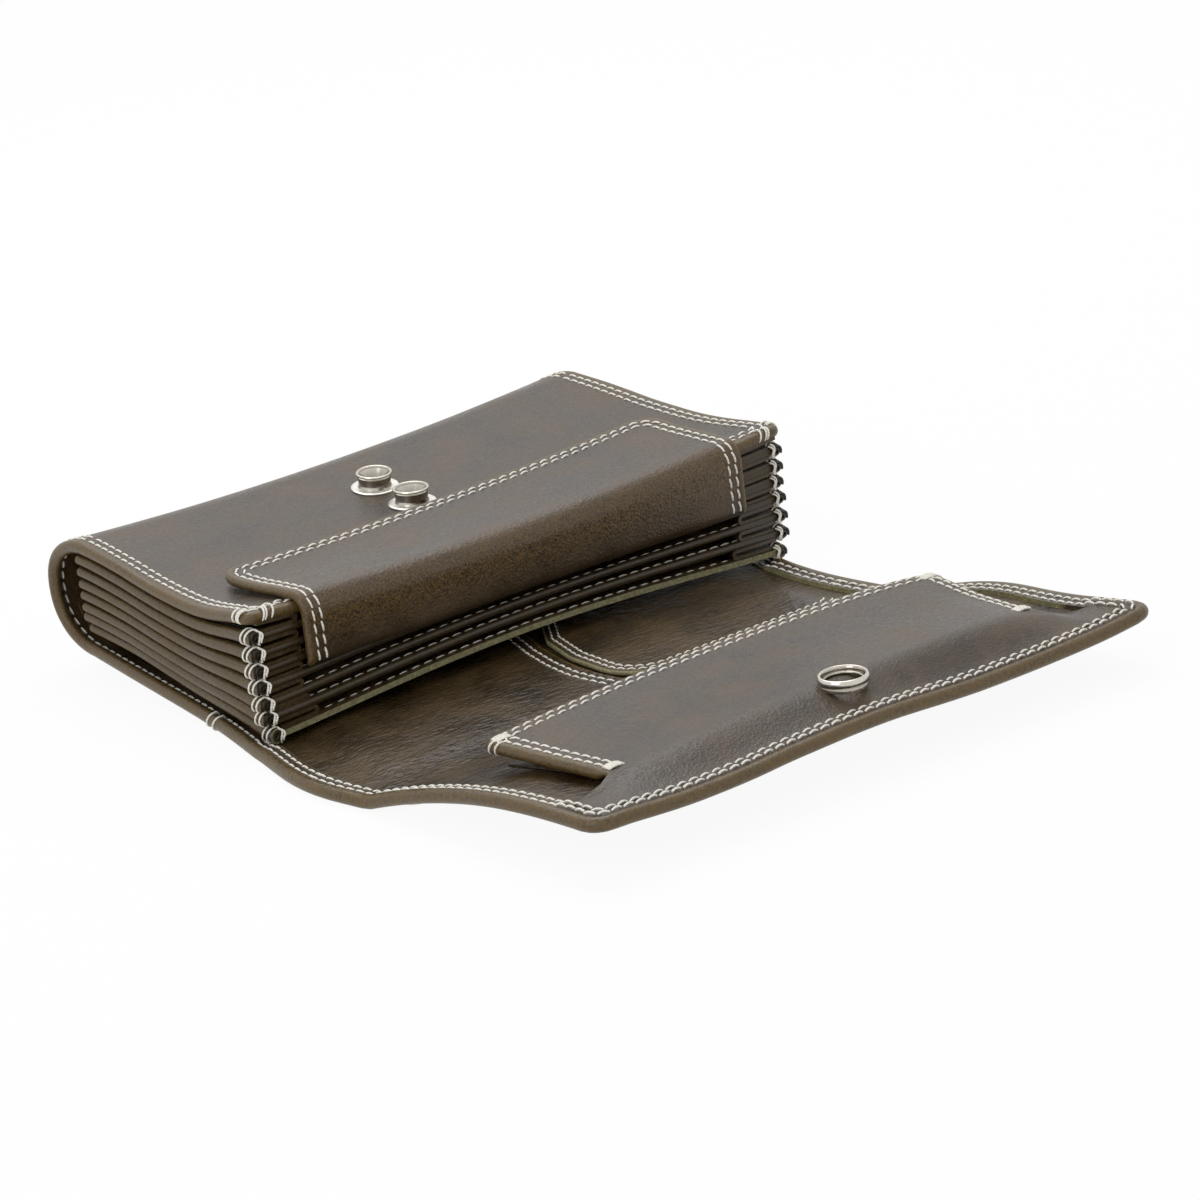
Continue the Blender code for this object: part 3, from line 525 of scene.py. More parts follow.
def line_path(points):
    """A smooth path through (depth, height) points, its length and their places. Up is on its left."""
    places = [0.0]
    for (d0, h0), (d1, h1) in zip(points, points[1:]):
        places.append(places[-1] + math.hypot(d1 - d0, h1 - h0))
    last = len(points) - 1
    slopes = []
    for k in range(last + 1):
        (d0, h0), (d1, h1) = points[max(0, k - 1)], points[min(last, k + 1)]
        size = math.hypot(d1 - d0, h1 - h0)
        slopes.append(((d1 - d0) / size, (h1 - h0) / size))

    def path(t):
        t = min(places[-1], max(0.0, t))
        k = min(last - 1, int(np.searchsorted(places, t, side="right")) - 1)
        share = (t - places[k]) / (places[k + 1] - places[k])
        forward, up = (slopes[k][j] * (1 - share) + slopes[k + 1][j] * share for j in (0, 1))
        size = math.hypot(forward, up)
        depth, height = (points[k][j] + (points[k + 1][j] - points[k][j]) * share for j in (0, 1))
        return depth, height, -up / size, forward / size

    return path, places[-1], places


BEAD_SHARES = (0, 0.05, 0.16, 0.32, 0.55, 0.8, 1.0, 1.25, 1.5, 1.75, 2.0, 2.2, 2.4)
RUN_OUT = 1.4
STEP = 0.00008
RUN_STEP = 0.0015


def value(setting, t):
    return setting(t) if callable(setting) else setting


class Sheet:
    """A leather sheet laid along a path. Its sides are turned over into beads; its end may be turned too.

    Up is the side of the path's normal. flush is 1 where the beads rise on top, -1 where they hang below.
    strip is how far the turned-over strip, MARGIN wide, stands above the sheet. sag raises it all.
    """

    start, end, bead, plain, corner, flush, raw = "cut", "cut", BEAD, COVER_HALF, 0.0, 0.0, 1.0
    strip = sag = wear = end_bead = None

    def __init__(self, path, length, edges, **form):
        vars(self).update(form, path=path, length=length, edges=edges)
        self.widest = max(value(self.bead, length * k / 8) for k in range(9))
        insets = [share * self.widest for share in BEAD_SHARES]
        if self.strip:
            insets = [inset for inset in insets if inset < MARGIN - 3 * STEP]
            insets += [MARGIN - 2 * STEP, MARGIN, MARGIN + STEP, MARGIN + 4 * STEP]
        if self.corner > insets[-1]:
            insets += [insets[-1] + (self.corner - insets[-1]) * k / 4 for k in (1, 2, 3, 4)]
        self.insets = insets

    def half(self, edge, t, at_end):
        """The bead's radius, half the plain thickness, and half the thickness at a distance from the edge."""
        plain = value(self.plain, t)
        bead = max(self.end_bead if at_end and self.end_bead else value(self.bead, t), plain)
        if edge <= bead:
            return bead, plain, math.sqrt(max(0.0, bead**2 - (bead - edge) ** 2))
        return bead, plain, bead + (plain - bead) * rises(edge, bead, RUN_OUT * bead)

    def strip_at(self, edge, bead, t):
        if not self.strip:
            return 0.0
        inside = 1 - rises(edge, MARGIN, STEP)
        return value(self.strip, t) * inside * rises(edge / bead, 1, RUN_OUT)

    def point(self, side, inset, t):
        """The upper and lower points, the upward normal, the distance from the turned edge, across and t."""
        near = self.length - t if self.end == "turned" else math.inf
        aside = inset if side else math.inf
        edge = min(near, aside)
        if aside < self.corner and near < self.corner:
            shrink = (self.corner - edge) / max(1e-9, math.hypot(self.corner - aside, self.corner - near))
            inset = self.corner - (self.corner - aside) * shrink
            t = self.length - (self.corner - (self.corner - near) * shrink)
        left, right = self.edges(t)
        if side:
            across = left + inset if side < 0 else right - inset
        else:
            left, right = left + self.insets[-1], right - self.insets[-1]
            across = left + (right - left) * inset
        bead, plain, half = self.half(edge, t, near <= aside)
        lift = ((bead if edge < bead else half) - plain) * value(self.flush, t)
        for kind, run in ((self.start, t), (self.end, self.length - t)):
            radius = min(plain, half) if half > 0 else plain
            if kind == "nose" and run < radius:
                half *= math.sqrt(max(0.0, 1 - (1 - run / radius) ** 2))
        depth, height, normal_depth, normal_height = self.path(t)
        middle = at(across, depth, height + (self.sag(across, t) if self.sag else 0.0))
        normal = Vector((0, normal_depth, normal_height))
        top = middle + normal * (lift + half + self.strip_at(edge, bead, t))
        return top, middle + normal * (lift - half), normal, edge, across, t

    def rows(self, step):
        plain = value(self.plain, 0.0)
        shares = (0, 0.1, 0.3, 0.6, 1.0)
        first = [share * plain for share in shares] if self.start == "nose" else [0.0]
        last = [self.length]
        if self.end == "turned":
            last = [self.length - inset for inset in reversed(self.insets)]
        if self.end == "nose":
            last = [self.length - share * plain for share in reversed(shares)]
        count = max(2, round((last[0] - first[-1]) / step))
        return first + [first[-1] + (last[0] - first[-1]) * k / count for k in range(1, count)] + last

    def columns(self, count):
        side = [(-1, inset) for inset in self.insets]
        inner = [(0, k / count) for k in range(1, count)]
        return side + inner + [(1, inset) for inset in reversed(self.insets)]

    def build(self, name, looks, step=0.003, count=40, cuts=(2, 2)):
        """A mesh object. looks: the under side with its turned edges, the upper side, and the cut ends."""
        points, values, faces, index, grid = [], {"rim": [], "wear": [], "raw": []}, [], [], []
        for t in self.rows(step):
            line = []
            for side, inset in self.columns(count):
                top, bottom, normal, edge, across, place = self.point(side, inset, t)
                bead = value(self.bead, t)
                # Mask of the turned beads for their lighter colour: real burnish and painted highlight.
                rim = 1 - rises(edge / bead, 0.9, 1.1) if bead > value(self.plain, t) else 0.0
                if self.end_bead and self.length - place <= edge + 1e-9:
                    rim *= 0.3
                step_edge = self.strip and abs(edge - MARGIN - STEP / 2) < STEP and value(self.strip, t) > 0
                pair = []
                for k, spot in enumerate((top, bottom)):
                    if k and (top - bottom).length < 1e-7:
                        pair.append(pair[0])
                        continue
                    pair.append(len(points))
                    points.append(spot)
                    values["rim"].append(rim)
                    values["wear"].append(self.wear(across, t) if self.wear else 0.0)
                    values["raw"].append(value(self.raw, place) if step_edge and not k else 0.0)
                line.append((*pair, edge))
            grid.append(line)
        for r in range(len(grid) - 1):
            for c in range(len(grid[0]) - 1):
                cell = (grid[r][c], grid[r][c + 1], grid[r + 1][c + 1], grid[r + 1][c])
                edge = sum(min(corner[2], 1.0) for corner in cell) / 4
                faces.append([corner[0] for corner in cell])
                index.append(1 if edge > (MARGIN if self.strip else self.widest) else 0)
                faces.append([corner[1] for corner in reversed(cell)])
                index.append(0)
        loop = [(p, cuts[0]) for p in grid[0]] + [(line[-1], 0) for line in grid[1:]]
        loop += [(p, cuts[1]) for p in grid[-1][-2::-1]] + [(line[0], 0) for line in grid[-2:0:-1]]
        for (here, kind), (there, other) in zip(loop, loop[1:] + loop[:1]):
            corners = list(dict.fromkeys((here[0], here[1], there[1], there[0])))
            if len(corners) > 2:
                faces.append(corners)
                index.append(kind if kind == other else 0)
        return made_piece(name, points, faces, looks, index, values)

    def line(self, spots, face=1):
        """(place, up) of each (side, inset, t)."""
        found = []
        for spot in spots:
            top, bottom, normal, *_ = self.point(*spot)
            found.append((top, normal) if face > 0 else (bottom, -normal))
        return found

    def side_run(self, side, inset, start, stop, face=1):
        count = max(2, int(abs(stop - start) / RUN_STEP))
        return self.line([(side, inset, start + (stop - start) * k / count) for k in range(count + 1)], face)

    def end_run(self, inset, start, face=1, sides=(-1, 1)):
        """A line at an inset up one side, round the turned end and down the other."""
        t = self.length - inset
        count = max(2, int((t - start) / RUN_STEP))
        along = [start + (t - start) * k / count for k in range(count)]
        steps = [inset + (self.insets[-1] - inset) * k / 10 for k in range(11)]
        spots = [(-1, inset, s) for s in along] if -1 in sides else []
        spots += [(-1, a, t) for a in steps] + [(0, k / 60, t) for k in range(1, 60)]
        spots += [(1, a, t) for a in reversed(steps)]
        spots += [(1, inset, s) for s in reversed(along)] if 1 in sides else []
        return self.line(spots, face)

    def across_run(self, back_from_end, low, high):
        """A line straight across at a distance back from the end, between two shares of the width."""
        t = self.length - back_from_end
        return self.line([(0, low + (high - low) * k / 60, t) for k in range(61)])


def made_piece(name, points, faces, looks, index=None, values=None):
    """A closed mesh object at the origin, facing out, with its finishes and point attributes."""
    mesh = bpy.data.meshes.new(name)
    mesh.from_pydata([tuple(p) for p in points], [], faces)
    for look in looks:
        mesh.materials.append(look)
    if index:
        mesh.polygons.foreach_set("material_index", index)
    for key, numbers in (values or {}).items():
        mesh.attributes.new(key, "FLOAT", "POINT").data.foreach_set("value", numbers)
    shape = bmesh.new()
    shape.from_mesh(mesh)
    bmesh.ops.recalc_face_normals(shape, faces=shape.faces)
    if shape.calc_volume(signed=True) < 0:
        bmesh.ops.reverse_faces(shape, faces=shape.faces)
    shape.to_mesh(mesh)
    shape.free()
    mesh.shade_smooth()
    mesh.set_sharp_from_angle(angle=math.radians(50))
    return shown(name, mesh)


# Stitching by Geometry Nodes

def stitch_tree():
    """Arched stitches along guide lines: each line's points carry the way up out of the leather."""
    tree = bpy.data.node_groups.new("stitch runs", "GeometryNodeTree")
    sockets = [("Guides", "INPUT", "Geometry")]
    sizes = ("Pitch", "Stitch Length", "Thread Radius", "Arch", "Slant")
    sockets += [(name, "INPUT", "Float") for name in sizes]
    sockets += [("Thread", "INPUT", "Material"), ("Stitches", "OUTPUT", "Geometry")]
    for name, way, kind in sockets:
        tree.interface.new_socket(name, in_out=way, socket_type=f"NodeSocket{kind}")

    def made(kind, links=None, settings=None, **values):
        return add(tree, kind, settings, links, **values).outputs[0]

    given = add(tree, "NodeGroupInput").outputs
    up = add(tree, "GeometryNodeInputNamedAttribute", {"data_type": "FLOAT_VECTOR"}, Name="up")
    runs = made("GeometryNodeMeshToCurve", {"Mesh": given["Guides"]})
    spaced = made("GeometryNodeResampleCurve", {"Curve": runs, "Length": given["Pitch"]}, {"mode": "LENGTH"})
    half = reckon(tree, "MULTIPLY", given["Stitch Length"], 0.5)
    sunk = reckon(tree, "MULTIPLY", given["Thread Radius"], -0.9)
    first = made("ShaderNodeCombineXYZ", {0: reckon(tree, "MULTIPLY", half, -1.0), 2: sunk})
    last = made("ShaderNodeCombineXYZ", {0: half, 2: sunk})
    crest = made("ShaderNodeCombineXYZ", {2: given["Arch"]})
    bend = {"Start": first, "Middle": crest, "End": last}
    arc = made("GeometryNodeCurveQuadraticBezier", bend, Resolution=5)
    ring = made("GeometryNodeCurvePrimitiveCircle", {"Radius": given["Thread Radius"]}, Resolution=6)
    stitch = made("GeometryNodeCurveToMesh", {"Curve": arc, "Profile Curve": ring}, Fill_Caps=True)
    soft = made("GeometryNodeSetShadeSmooth", {0: stitch})
    tangent = made("GeometryNodeInputTangent")
    axes = {"primary_axis": "Z", "secondary_axis": "X"}
    stance = made("FunctionNodeAxesToRotation", {0: up.outputs["Attribute"], 1: tangent}, axes)
    spin = made("FunctionNodeAxisAngleToRotation", {"Angle": given["Slant"]}, Axis=(0, 0, 1))
    slanted = made("FunctionNodeRotateRotation", {0: stance, 1: spin}, {"rotation_space": "LOCAL"})
    placed = made("GeometryNodeInstanceOnPoints", {"Points": spaced, "Instance": soft, "Rotation": slanted})
    real = made("GeometryNodeRealizeInstances", {0: placed})
    looks = made("GeometryNodeSetMaterial", {"Geometry": real, "Material": given["Thread"]})
    add(tree, "NodeGroupOutput", None, {0: looks})
    return tree


stitches = stitch_tree()


def sewn(name, runs, pitch=STITCH_PITCH, radius=THREAD, arch=0.00060, slant=7.0):
    """Stitches along runs of (place, up) points, as one plain mesh."""
    guide = bpy.data.meshes.new(name + "_guide")
    points, ups, edges = [], [], []
    for run in runs:
        edges += [(len(points) + k, len(points) + k + 1) for k in range(len(run) - 1)]
        points += [tuple(p) for p, _ in run]
        ups += [tuple(u) for _, u in run]
    guide.from_pydata(points, edges, [])
    guide.attributes.new("up", "FLOAT_VECTOR", "POINT").data.foreach_set("vector", np.ravel(ups))
    holder = shown(name + "_guide", guide)
    modifier = holder.modifiers.new("stitching", "NODES")
    modifier.node_group = stitches
    values = {
        "Pitch": pitch, "Stitch Length": pitch * 0.80, "Thread Radius": radius, "Arch": arch,
        "Slant": math.radians(slant), "Thread": thread,
    }
    for item in stitches.interface.items_tree:
        if item.in_out == "INPUT" and item.name in values:
            modifier[item.identifier] = values[item.name]
    graph = bpy.context.evaluated_depsgraph_get()
    mesh = bpy.data.meshes.new_from_object(holder.evaluated_get(graph), depsgraph=graph)
    mesh.name = name
    piece = shown(name, mesh)
    bpy.data.objects.remove(holder)
    return piece


def strand(lines, radius, closed=True, sides=6):
    """Points and faces of round thread along closed or open lines of points."""
    points, faces = [], []
    for line in lines:
        rings = []
        for k, spot in enumerate(line):
            before = line[k - 1] if closed or k else line[0]
            after = line[(k + 1) % len(line)] if closed or k < len(line) - 1 else line[-1]
            along = (after - before).normalized()
            out = (out - along * out.dot(along) if rings else along.orthogonal()).normalized()
            other = along.cross(out)
            rings.append(len(points))
            points += [spot + (out * math.cos(a) + other * math.sin(a)) * radius for a in circle(sides)]
        pairs = list(zip(rings, rings[1:])) + ([(rings[-1], rings[0])] if closed else [])
        for a, b in pairs:
            faces += [(a + s, a + (s + 1) % sides, b + (s + 1) % sides, b + s) for s in range(sides)]
        if not closed:
            faces += [tuple(range(rings[0], rings[0] + sides)), tuple(range(rings[-1], rings[-1] + sides))]
    return points, faces


def threads(name, lines, radius=THREAD, closed=True):
    return made_piece(name, *strand(lines, radius, closed), (thread,))


def wrap(centre, radius, lean=0.0):
    """A loop of thread round a bead that runs along Y. lean tips it along the bead."""
    return [
        centre + Vector((math.cos(a) * radius, math.sin(a) * radius * lean, math.sin(a) * radius))
        for a in circle(24)
    ]


# Cover: spine, base and the near half of the flap's front

def cover_points():
    half_height = (HINGE_HEIGHT - COVER_HALF) / 2
    reach = SPINE_BULGE + BEAD - COVER_HALF
    points = [(-FLAP_JOIN + (TOP_DEPTH - 0.004 + FLAP_JOIN) * k / 40, COVER_HALF) for k in range(41)]
    for k in range(61):
        angle = math.pi * (1 - k / 60)
        depth = TOP_DEPTH - BEAD + reach * abs(math.sin(angle)) ** (2 / SPINE_ROUNDNESS)
        up = math.copysign(abs(math.cos(angle)) ** (2 / SPINE_ROUNDNESS), math.cos(angle))
        height = COVER_HALF + half_height * (1 + up)
        if height < HINGE_HEIGHT / 2 or depth > TOP_DEPTH + 0.001:
            points.append((depth, height))
    return points + [(TOP_DEPTH - COVER_HALF, HINGE_HEIGHT)]


cover_path, cover_length, _ = line_path(cover_points())


def cover_strip(t):
    depth, height = cover_path(t)[:2]
    low = STRIP - (STRIP - STRIP_ON_BASE) * rises(depth, -0.006, 0.006)
    return low * falls(height, 0.012, 0.008)


def cover_sag(across, t):
    depth, height = cover_path(t)[:2]
    share = height / HINGE_HEIGHT
    top = wall_height(1, across, TOP_DEPTH) - HINGE_HEIGHT
    return side_lift(across, depth) * (1 - share) + top * share**2


cover = Sheet(
    cover_path, cover_length, lambda t: body_edges(cover_path(t)[0]), end="nose", bead=EDGE_BEAD,
    flush=1.0, strip=cover_strip, sag=cover_sag,
    wear=lambda across, t: 0.25 * rises(cover_path(t)[0], 0.085, 0.02),
)
lined = (smooth_calf, grained_calf, cut_edge)
cover_piece = cover.build("cover_spine_and_base", lined, step=0.0022)

# Flap: its outer half, from the middle of the front length to the turned end

flap = Sheet(
    surface_path(-FLAP_JOIN, flap_middle), FLAP_LENGTH - FLAP_JOIN, lambda t: body_edges(-FLAP_JOIN - t),
    end="turned", bead=EDGE_BEAD, flush=1.0, strip=STRIP, corner=0.0072,
    sag=lambda across, t: end_wave(across, -FLAP_JOIN - t),
    raw=lambda t: falls(t, FLAP_LENGTH - FLAP_JOIN - 0.024, 0.004),
)
flap_piece = flap.build("flap", lined, step=0.0028)


# Cover top and walls, each from the spine forward to the mouth

def stacked(number, rear, length, **form):
    """A sheet of the stack. Its path follows the height at its far side, and the sag does the rest."""
    def sag(across, t):
        return wall_height(number, across, rear - t) - wall_height(number, HALF_WIDTH, rear - t)

    path = upright_path(rear, lambda depth: wall_height(number, HALF_WIDTH, depth))
    return Sheet(path, length, lambda t: wall_edges(number, rear - t), sag=sag, **form)


cover_top = stacked(
    1, TOP_DEPTH + COVER_HALF, TOP_DEPTH + COVER_HALF, end="turned", start="nose",
    bead=lambda t: EDGE_BEAD - 0.0002 * smooth(t / 0.02), corner=0.0040, flush=-1.0,
)
unlined = (smooth_calf, smooth_calf, cut_edge)
top_piece = cover_top.build("cover_top_panel", unlined)


def wall_bead(depth):
    long = LONG_BEAD + (WALL_BEAD - LONG_BEAD) * clamp(depth / TOP_DEPTH)
    return long + (MOUTH_BEAD - LONG_BEAD) * (1 - smooth(depth / MOUTH_BEAD_REACH))


walls, wall_pieces = {}, {}
for number in range(2, WALL_COUNT + 1):
    lowest = number == WALL_COUNT
    walls[number] = stacked(
        number, WALL_END, WALL_END - wall_front(number), end="cut" if lowest else "turned",
        bead=lambda t: wall_bead(WALL_END - t), end_bead=END_BEAD, plain=0.0008 if lowest else WALL_HALF,
    )
    name = "bottom_wall_leather" if lowest else f"divider_{number}_leather"
    wall_pieces[number] = walls[number].build(name, (shade_darkened_fold_calf, grained_calf, cut_edge), 0.006, 48, (0, 2))

BODIES = {WALL_COUNT: "base", **{n: f"wall_{n}" for n in range(1, WALL_COUNT)}}
NODES = {WALL_COUNT: "bottom_wall", 1: "cover_top", **{n: f"divider_{n}" for n in range(2, WALL_COUNT)}}


# Rolled ends of the walls at the mouth, each bound with thread

def coil(centre, outer, turns=1.7, leaf=0.00058, core=0.0006, steps=40):
    """A rolled leaf of leather seen end on: a spiral strip that runs a little way along Y."""
    points, faces = [], []
    for k in range(steps + 1):
        angle = -0.6 + 2 * math.pi * turns * k / steps
        radius = outer - (outer - core) * k / steps
        for size in (radius, radius - leaf):
            for run in (-0.0006, 0.0012):
                points.append(centre + Vector((math.cos(angle) * size, run, math.sin(angle) * size)))
    for k in range(steps):
        a, b = 4 * k, 4 * k + 4
        faces += [(a, a + 1, b + 1, b), (a + 2, b + 2, b + 3, a + 3), (a, b, b + 2, a + 2),
                  (a + 1, a + 3, b + 3, b + 1)]
    faces += [(0, 2, 3, 1), (4 * steps, 4 * steps + 1, 4 * steps + 3, 4 * steps + 2)]
    return points, faces


def merged(parts):
    points, faces = [], []
    for more, shapes in parts:
        faces += [tuple(len(points) + v for v in face) for face in shapes]
        points += more
    return points, faces


TOP_ROLL = 0.0017
BACKWARD = Vector((0, 1, 0))


def top_loops(centre, side):
    """The cover top's corner is bound along its side and along its mouth edge."""
    loops = [wrap(centre + BACKWARD * d, TOP_ROLL + TOUCH, 0.25 * side) for d in (0.0036, 0.0044, 0.0062)]
    for d in (0.0040, 0.0048, 0.0068):
        hub = centre + Vector((-side, 0, 0)) * d + BACKWARD * TOP_ROLL
        ring = wrap(Vector((0, 0, 0)), TOP_ROLL + TOUCH, 0.3)
        loops.append([hub + Vector((p.y, p.x, p.z)) for p in ring])
    return loops


def roll_loops(centre, side, radius):
    """A rolled end is bound round its side and over its face."""
    loops = [wrap(centre + BACKWARD * d, radius + 0.00012, 0.3 * side) for d in (0.0018, 0.0038)]
    for inner, reach in ((0.45, 0.0011), (0.75, 0.0014)):
        hub = centre + Vector((-side * radius * inner, 0.0004, 0))
        tall = radius * math.sqrt(1 - inner**2) + 0.0002
        loops.append([hub + Vector((0.0003 * math.sin(3 * a), -reach * math.cos(a), tall * math.sin(a)))
                      for a in circle(24)])
    return loops


bindings, rolls = {}, {}
for number in range(1, WALL_COUNT + 1):
    front = 0.0 if number == 1 else wall_front(number)
    loops, coils = [], []
    for side in (-1, 1):
        edge = wall_edges(number, front)[0 if side < 0 else 1]
        radius = TOP_ROLL if number == 1 else wall_bead(front)
        drop = COVER_HALF - TOP_ROLL if number == 1 else 0.0
        centre = at(edge - side * radius, front, wall_height(number, edge, front) + drop)
        if number == 1:
            loops += top_loops(centre, side)
        else:
            loops += roll_loops(centre, side, radius)
            coils.append(coil(centre, radius - 0.00005))
    bindings[number] = threads(f"mouth_binding_{number}", loops, THREAD * 0.92)
    if coils:
        rolls[number] = made_piece(f"rolled_ends_{number}", *merged(coils), (shade_darkened_fold_calf,))


# Gussets

LEAF_DEPTH = {-1: 0.0098, 1: 0.0118}
LEAF_TAPER = 0.3
CLEAR_OF_WALL = 0.0005


def leaf_start(number, side, depth):
    ends = wall_edges(number, depth)
    covered = 2.4 * (BEAD if number == 1 else wall_bead(depth)) - 0.0006
    return ends[0] + covered if side < 0 else ends[1] - covered


def leaf_ring(line, half, depth, points):
    """One closed section of a thin folded leaf. Its points are added to the list; their numbers come back."""
    ring = []
    last = len(line) - 1
    for direction, order in ((1, range(last + 1)), (-1, range(last, -1, -1))):
        for j in order:
            run = (line[min(last, j + 1)] - line[max(0, j - 1)]).normalized()
            spot = line[j] + Vector((-run.z, 0, run.x)) * half * direction
            ring.append(len(points))
            points.append(at(spot.x, depth, spot.z))
    return ring


def skin(grid):
    """Faces between neighbouring sections, and over the first and the last."""
    size, faces = len(grid[0]), []
    for here, there in zip(grid, grid[1:]):
        faces += [(here[j], here[(j + 1) % size], there[(j + 1) % size], there[j]) for j in range(size)]
    for ring in (grid[0], grid[-1]):
        half = range(size // 2 - 1)
        faces += [(ring[j], ring[j + 1], ring[size - 2 - j], ring[size - 1 - j]) for j in half]
    return faces


def gusset(upper, side, name, steps=22, half=0.00052, gap=0.00005):
    """The loop between a wall and the next one down: a long hairpin of thin leather, deepest at the mouth."""
    lower = upper + 1
    below = WALL_HALF + gap + half
    above = (BEAD if upper == 1 else WALL_HALF) + gap + half
    first = wall_front(upper) + 0.0003
    points, grid = [], []
    for k in range(steps + 1):
        depth = first + (WALL_END - 0.001 - first) * k / steps
        high_gap = above - ((BEAD - COVER_HALF) * smooth(k / 5) if upper == 1 else 0.0)
        wobble = 0.0007 * math.sin(2.1 * upper + 0.9 * k * side) + 0.0005 * math.sin(4.7 * upper + side)
        deep = LEAF_DEPTH[side] * (1 - LEAF_TAPER * k / steps) + wobble
        starts = leaf_start(upper, side, depth), leaf_start(lower, side, depth)
        turn_at = side * (min(abs(start) for start in starts) - deep)
        low = wall_height(lower, turn_at, depth) + below
        radius = (wall_height(upper, turn_at, depth) - high_gap - low) / 2
        line = []
        for share in (0.0, 0.25, 0.5, 0.75):
            across = starts[0] + (turn_at - starts[0]) * share
            line.append(Vector((across, 0, wall_height(upper, across, depth) - high_gap)))
        for angle in (math.pi * step / 8 for step in range(9)):
            across = turn_at - side * radius * math.sin(angle)
            line.append(Vector((across, 0, low + radius + radius * math.cos(angle))))
        for share in (0.25, 0.5, 0.75, 1.0):
            across = turn_at + (starts[1] - turn_at) * share
            line.append(Vector((across, 0, wall_height(lower, across, depth) + below)))
        grid.append(leaf_ring(line, half, depth, points))
    # Painted highlight: the loop's front end takes half the bead colour, so it reads lighter although the
    # tongue shades it.
    front_highlight = [0.5 if p[1] < MOUTH_Y + first + 0.0002 else 0.0 for p in points]
    return made_piece(name, points, skin(grid), (shade_darkened_fold_calf,), None, {"rim": front_highlight})


def mount(piece, slot, nodes, *hold):
    """Hides the nodes a piece replaces and parents the piece to one body; given two bodies and a joint, it
    only bakes the piece's transform. slot is not used.
    """
    if nodes:
        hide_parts(*nodes)
    if len(hold) == 1:
        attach(piece, *hold)
    else:
        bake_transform(piece)


for upper in range(1, WALL_COUNT):
    for side, end in ((-1, "near"), (1, "far")):
        piece = gusset(upper, side, f"gusset_loop_{end}_{upper}")
        low = wall_height(upper + 1, side * HALF_WIDTH, 0) + WALL_HALF + CLEAR_OF_WALL
        high = wall_height(upper, side * HALF_WIDTH, 0) - WALL_HALF - CLEAR_OF_WALL
        node = f"gusset_{end}_{upper}"
        mount(piece, node, [node], BODIES[upper + 1], BODIES[upper], at(0, 0, low), at(0, 0, high))


# Tongue, with its foot between walls 4 and 5

TONGUE_ABOVE, TONGUE_TIP_RISE = 0.00265, 0.0014
TONGUE_BEAD = 0.0014
FOOT_BEND, FOOT_REACH, FOOT_NARROWING = 0.0014, 0.0080, 0.006
FOOT_LEVEL = TONGUE_FOOT - 0.0006
BEND_LEVEL = 0.0355


def tongue_points():
    top = wall_height(1, 0, 0) + TONGUE_ABOVE
    centre = (TONGUE_BEND - TONGUE_DROP, top - TONGUE_BEND)
    points = [(FOOT_REACH - 0.0012 * k, FOOT_LEVEL) for k in range(8)]
    for angle in (math.pi / 2 * k / 8 for k in range(9)):
        depth = -TONGUE_DROP + FOOT_BEND - FOOT_BEND * math.sin(angle)
        points.append((depth, FOOT_LEVEL + FOOT_BEND - FOOT_BEND * math.cos(angle)))
    low = points[-1][1]
    points += [(-TONGUE_DROP, low + (centre[1] - low) * k / 6) for k in range(1, 6)]
    for angle in (math.pi / 2 * k / 14 for k in range(15)):
        points.append((centre[0] - TONGUE_BEND * math.cos(angle), centre[1] + TONGUE_BEND * math.sin(angle)))
    for k in range(1, 11):
        depth = centre[0] + (TONGUE_DEPTH - centre[0]) * k / 10
        points.append((depth, wall_height(1, 0, depth) + TONGUE_ABOVE + TONGUE_TIP_RISE * k / 10))
    return points


# Seen along the path from the foot, the outer face is on the left, which is up on the cover
tongue_path, tongue_length, tongue_places = line_path(tongue_points())
foot_end, bend_at = tongue_places[12], tongue_places[27]


def tongue_sag(across, t):
    depth, height = tongue_path(t)[:2]
    fall = wall_height(1, across, depth) - wall_height(1, 0, depth)
    between_walls = (wall_height(4, across, depth) + wall_height(5, across, depth)) / 2 - TONGUE_FOOT
    root = rises(depth, -0.0015, 0.003) if t < foot_end else 0.0
    return fall * rises(height, TONGUE_FOOT, BEND_LEVEL - TONGUE_FOOT) + between_walls * root


def tongue_edges(t):
    half = HALF_WIDTH - TONGUE_INSET - FOOT_NARROWING * (1 - rises(t, 0.006, 0.004))
    return -half, half


tongue = Sheet(
    tongue_path, tongue_length, tongue_edges, end="turned",
    bead=lambda t: WALL_HALF + (TONGUE_BEAD - WALL_HALF) * rises(t, 0.009, 0.003),
    plain=WALL_HALF, corner=0.0080, flush=lambda t: -0.5 * rises(t, 0.008, 0.004), sag=tongue_sag,
    wear=lambda across, t: swell(t, bend_at - 0.0032, 0.0070),
)
tongue_piece = tongue.build("tongue_leather", unlined, step=0.0012, count=60)


# Coin pouch: one sheet from under the flap's end to the turned mouth

coin_length = SEAT_END - COIN_MOUTH


def coin_edges(t):
    depth = -SEAT_END + t
    along = min(1.0, (-depth - COIN_MOUTH) / (COIN_HINGE - COIN_MOUTH))
    left, right = body_edges(depth)
    wide = rises(-depth, COIN_HINGE + 0.0012, 0.0060)
    left_half, right_half = COIN_NEAR_HALF - COIN_NEAR_TAPER * along, COIN_FAR_HALF - COIN_FAR_TAPER * along
    into_corner = max(0.0, (-depth - SEAT_END + SEAT_CORNER) / SEAT_CORNER)
    inset = SEAT_INSET + SEAT_CORNER * (1 - math.sqrt(max(0.0, 1 - into_corner**2)))
    return (
        -left_half + (left + inset + left_half) * wide,
        right_half + (right - inset - right_half) * wide,
    )


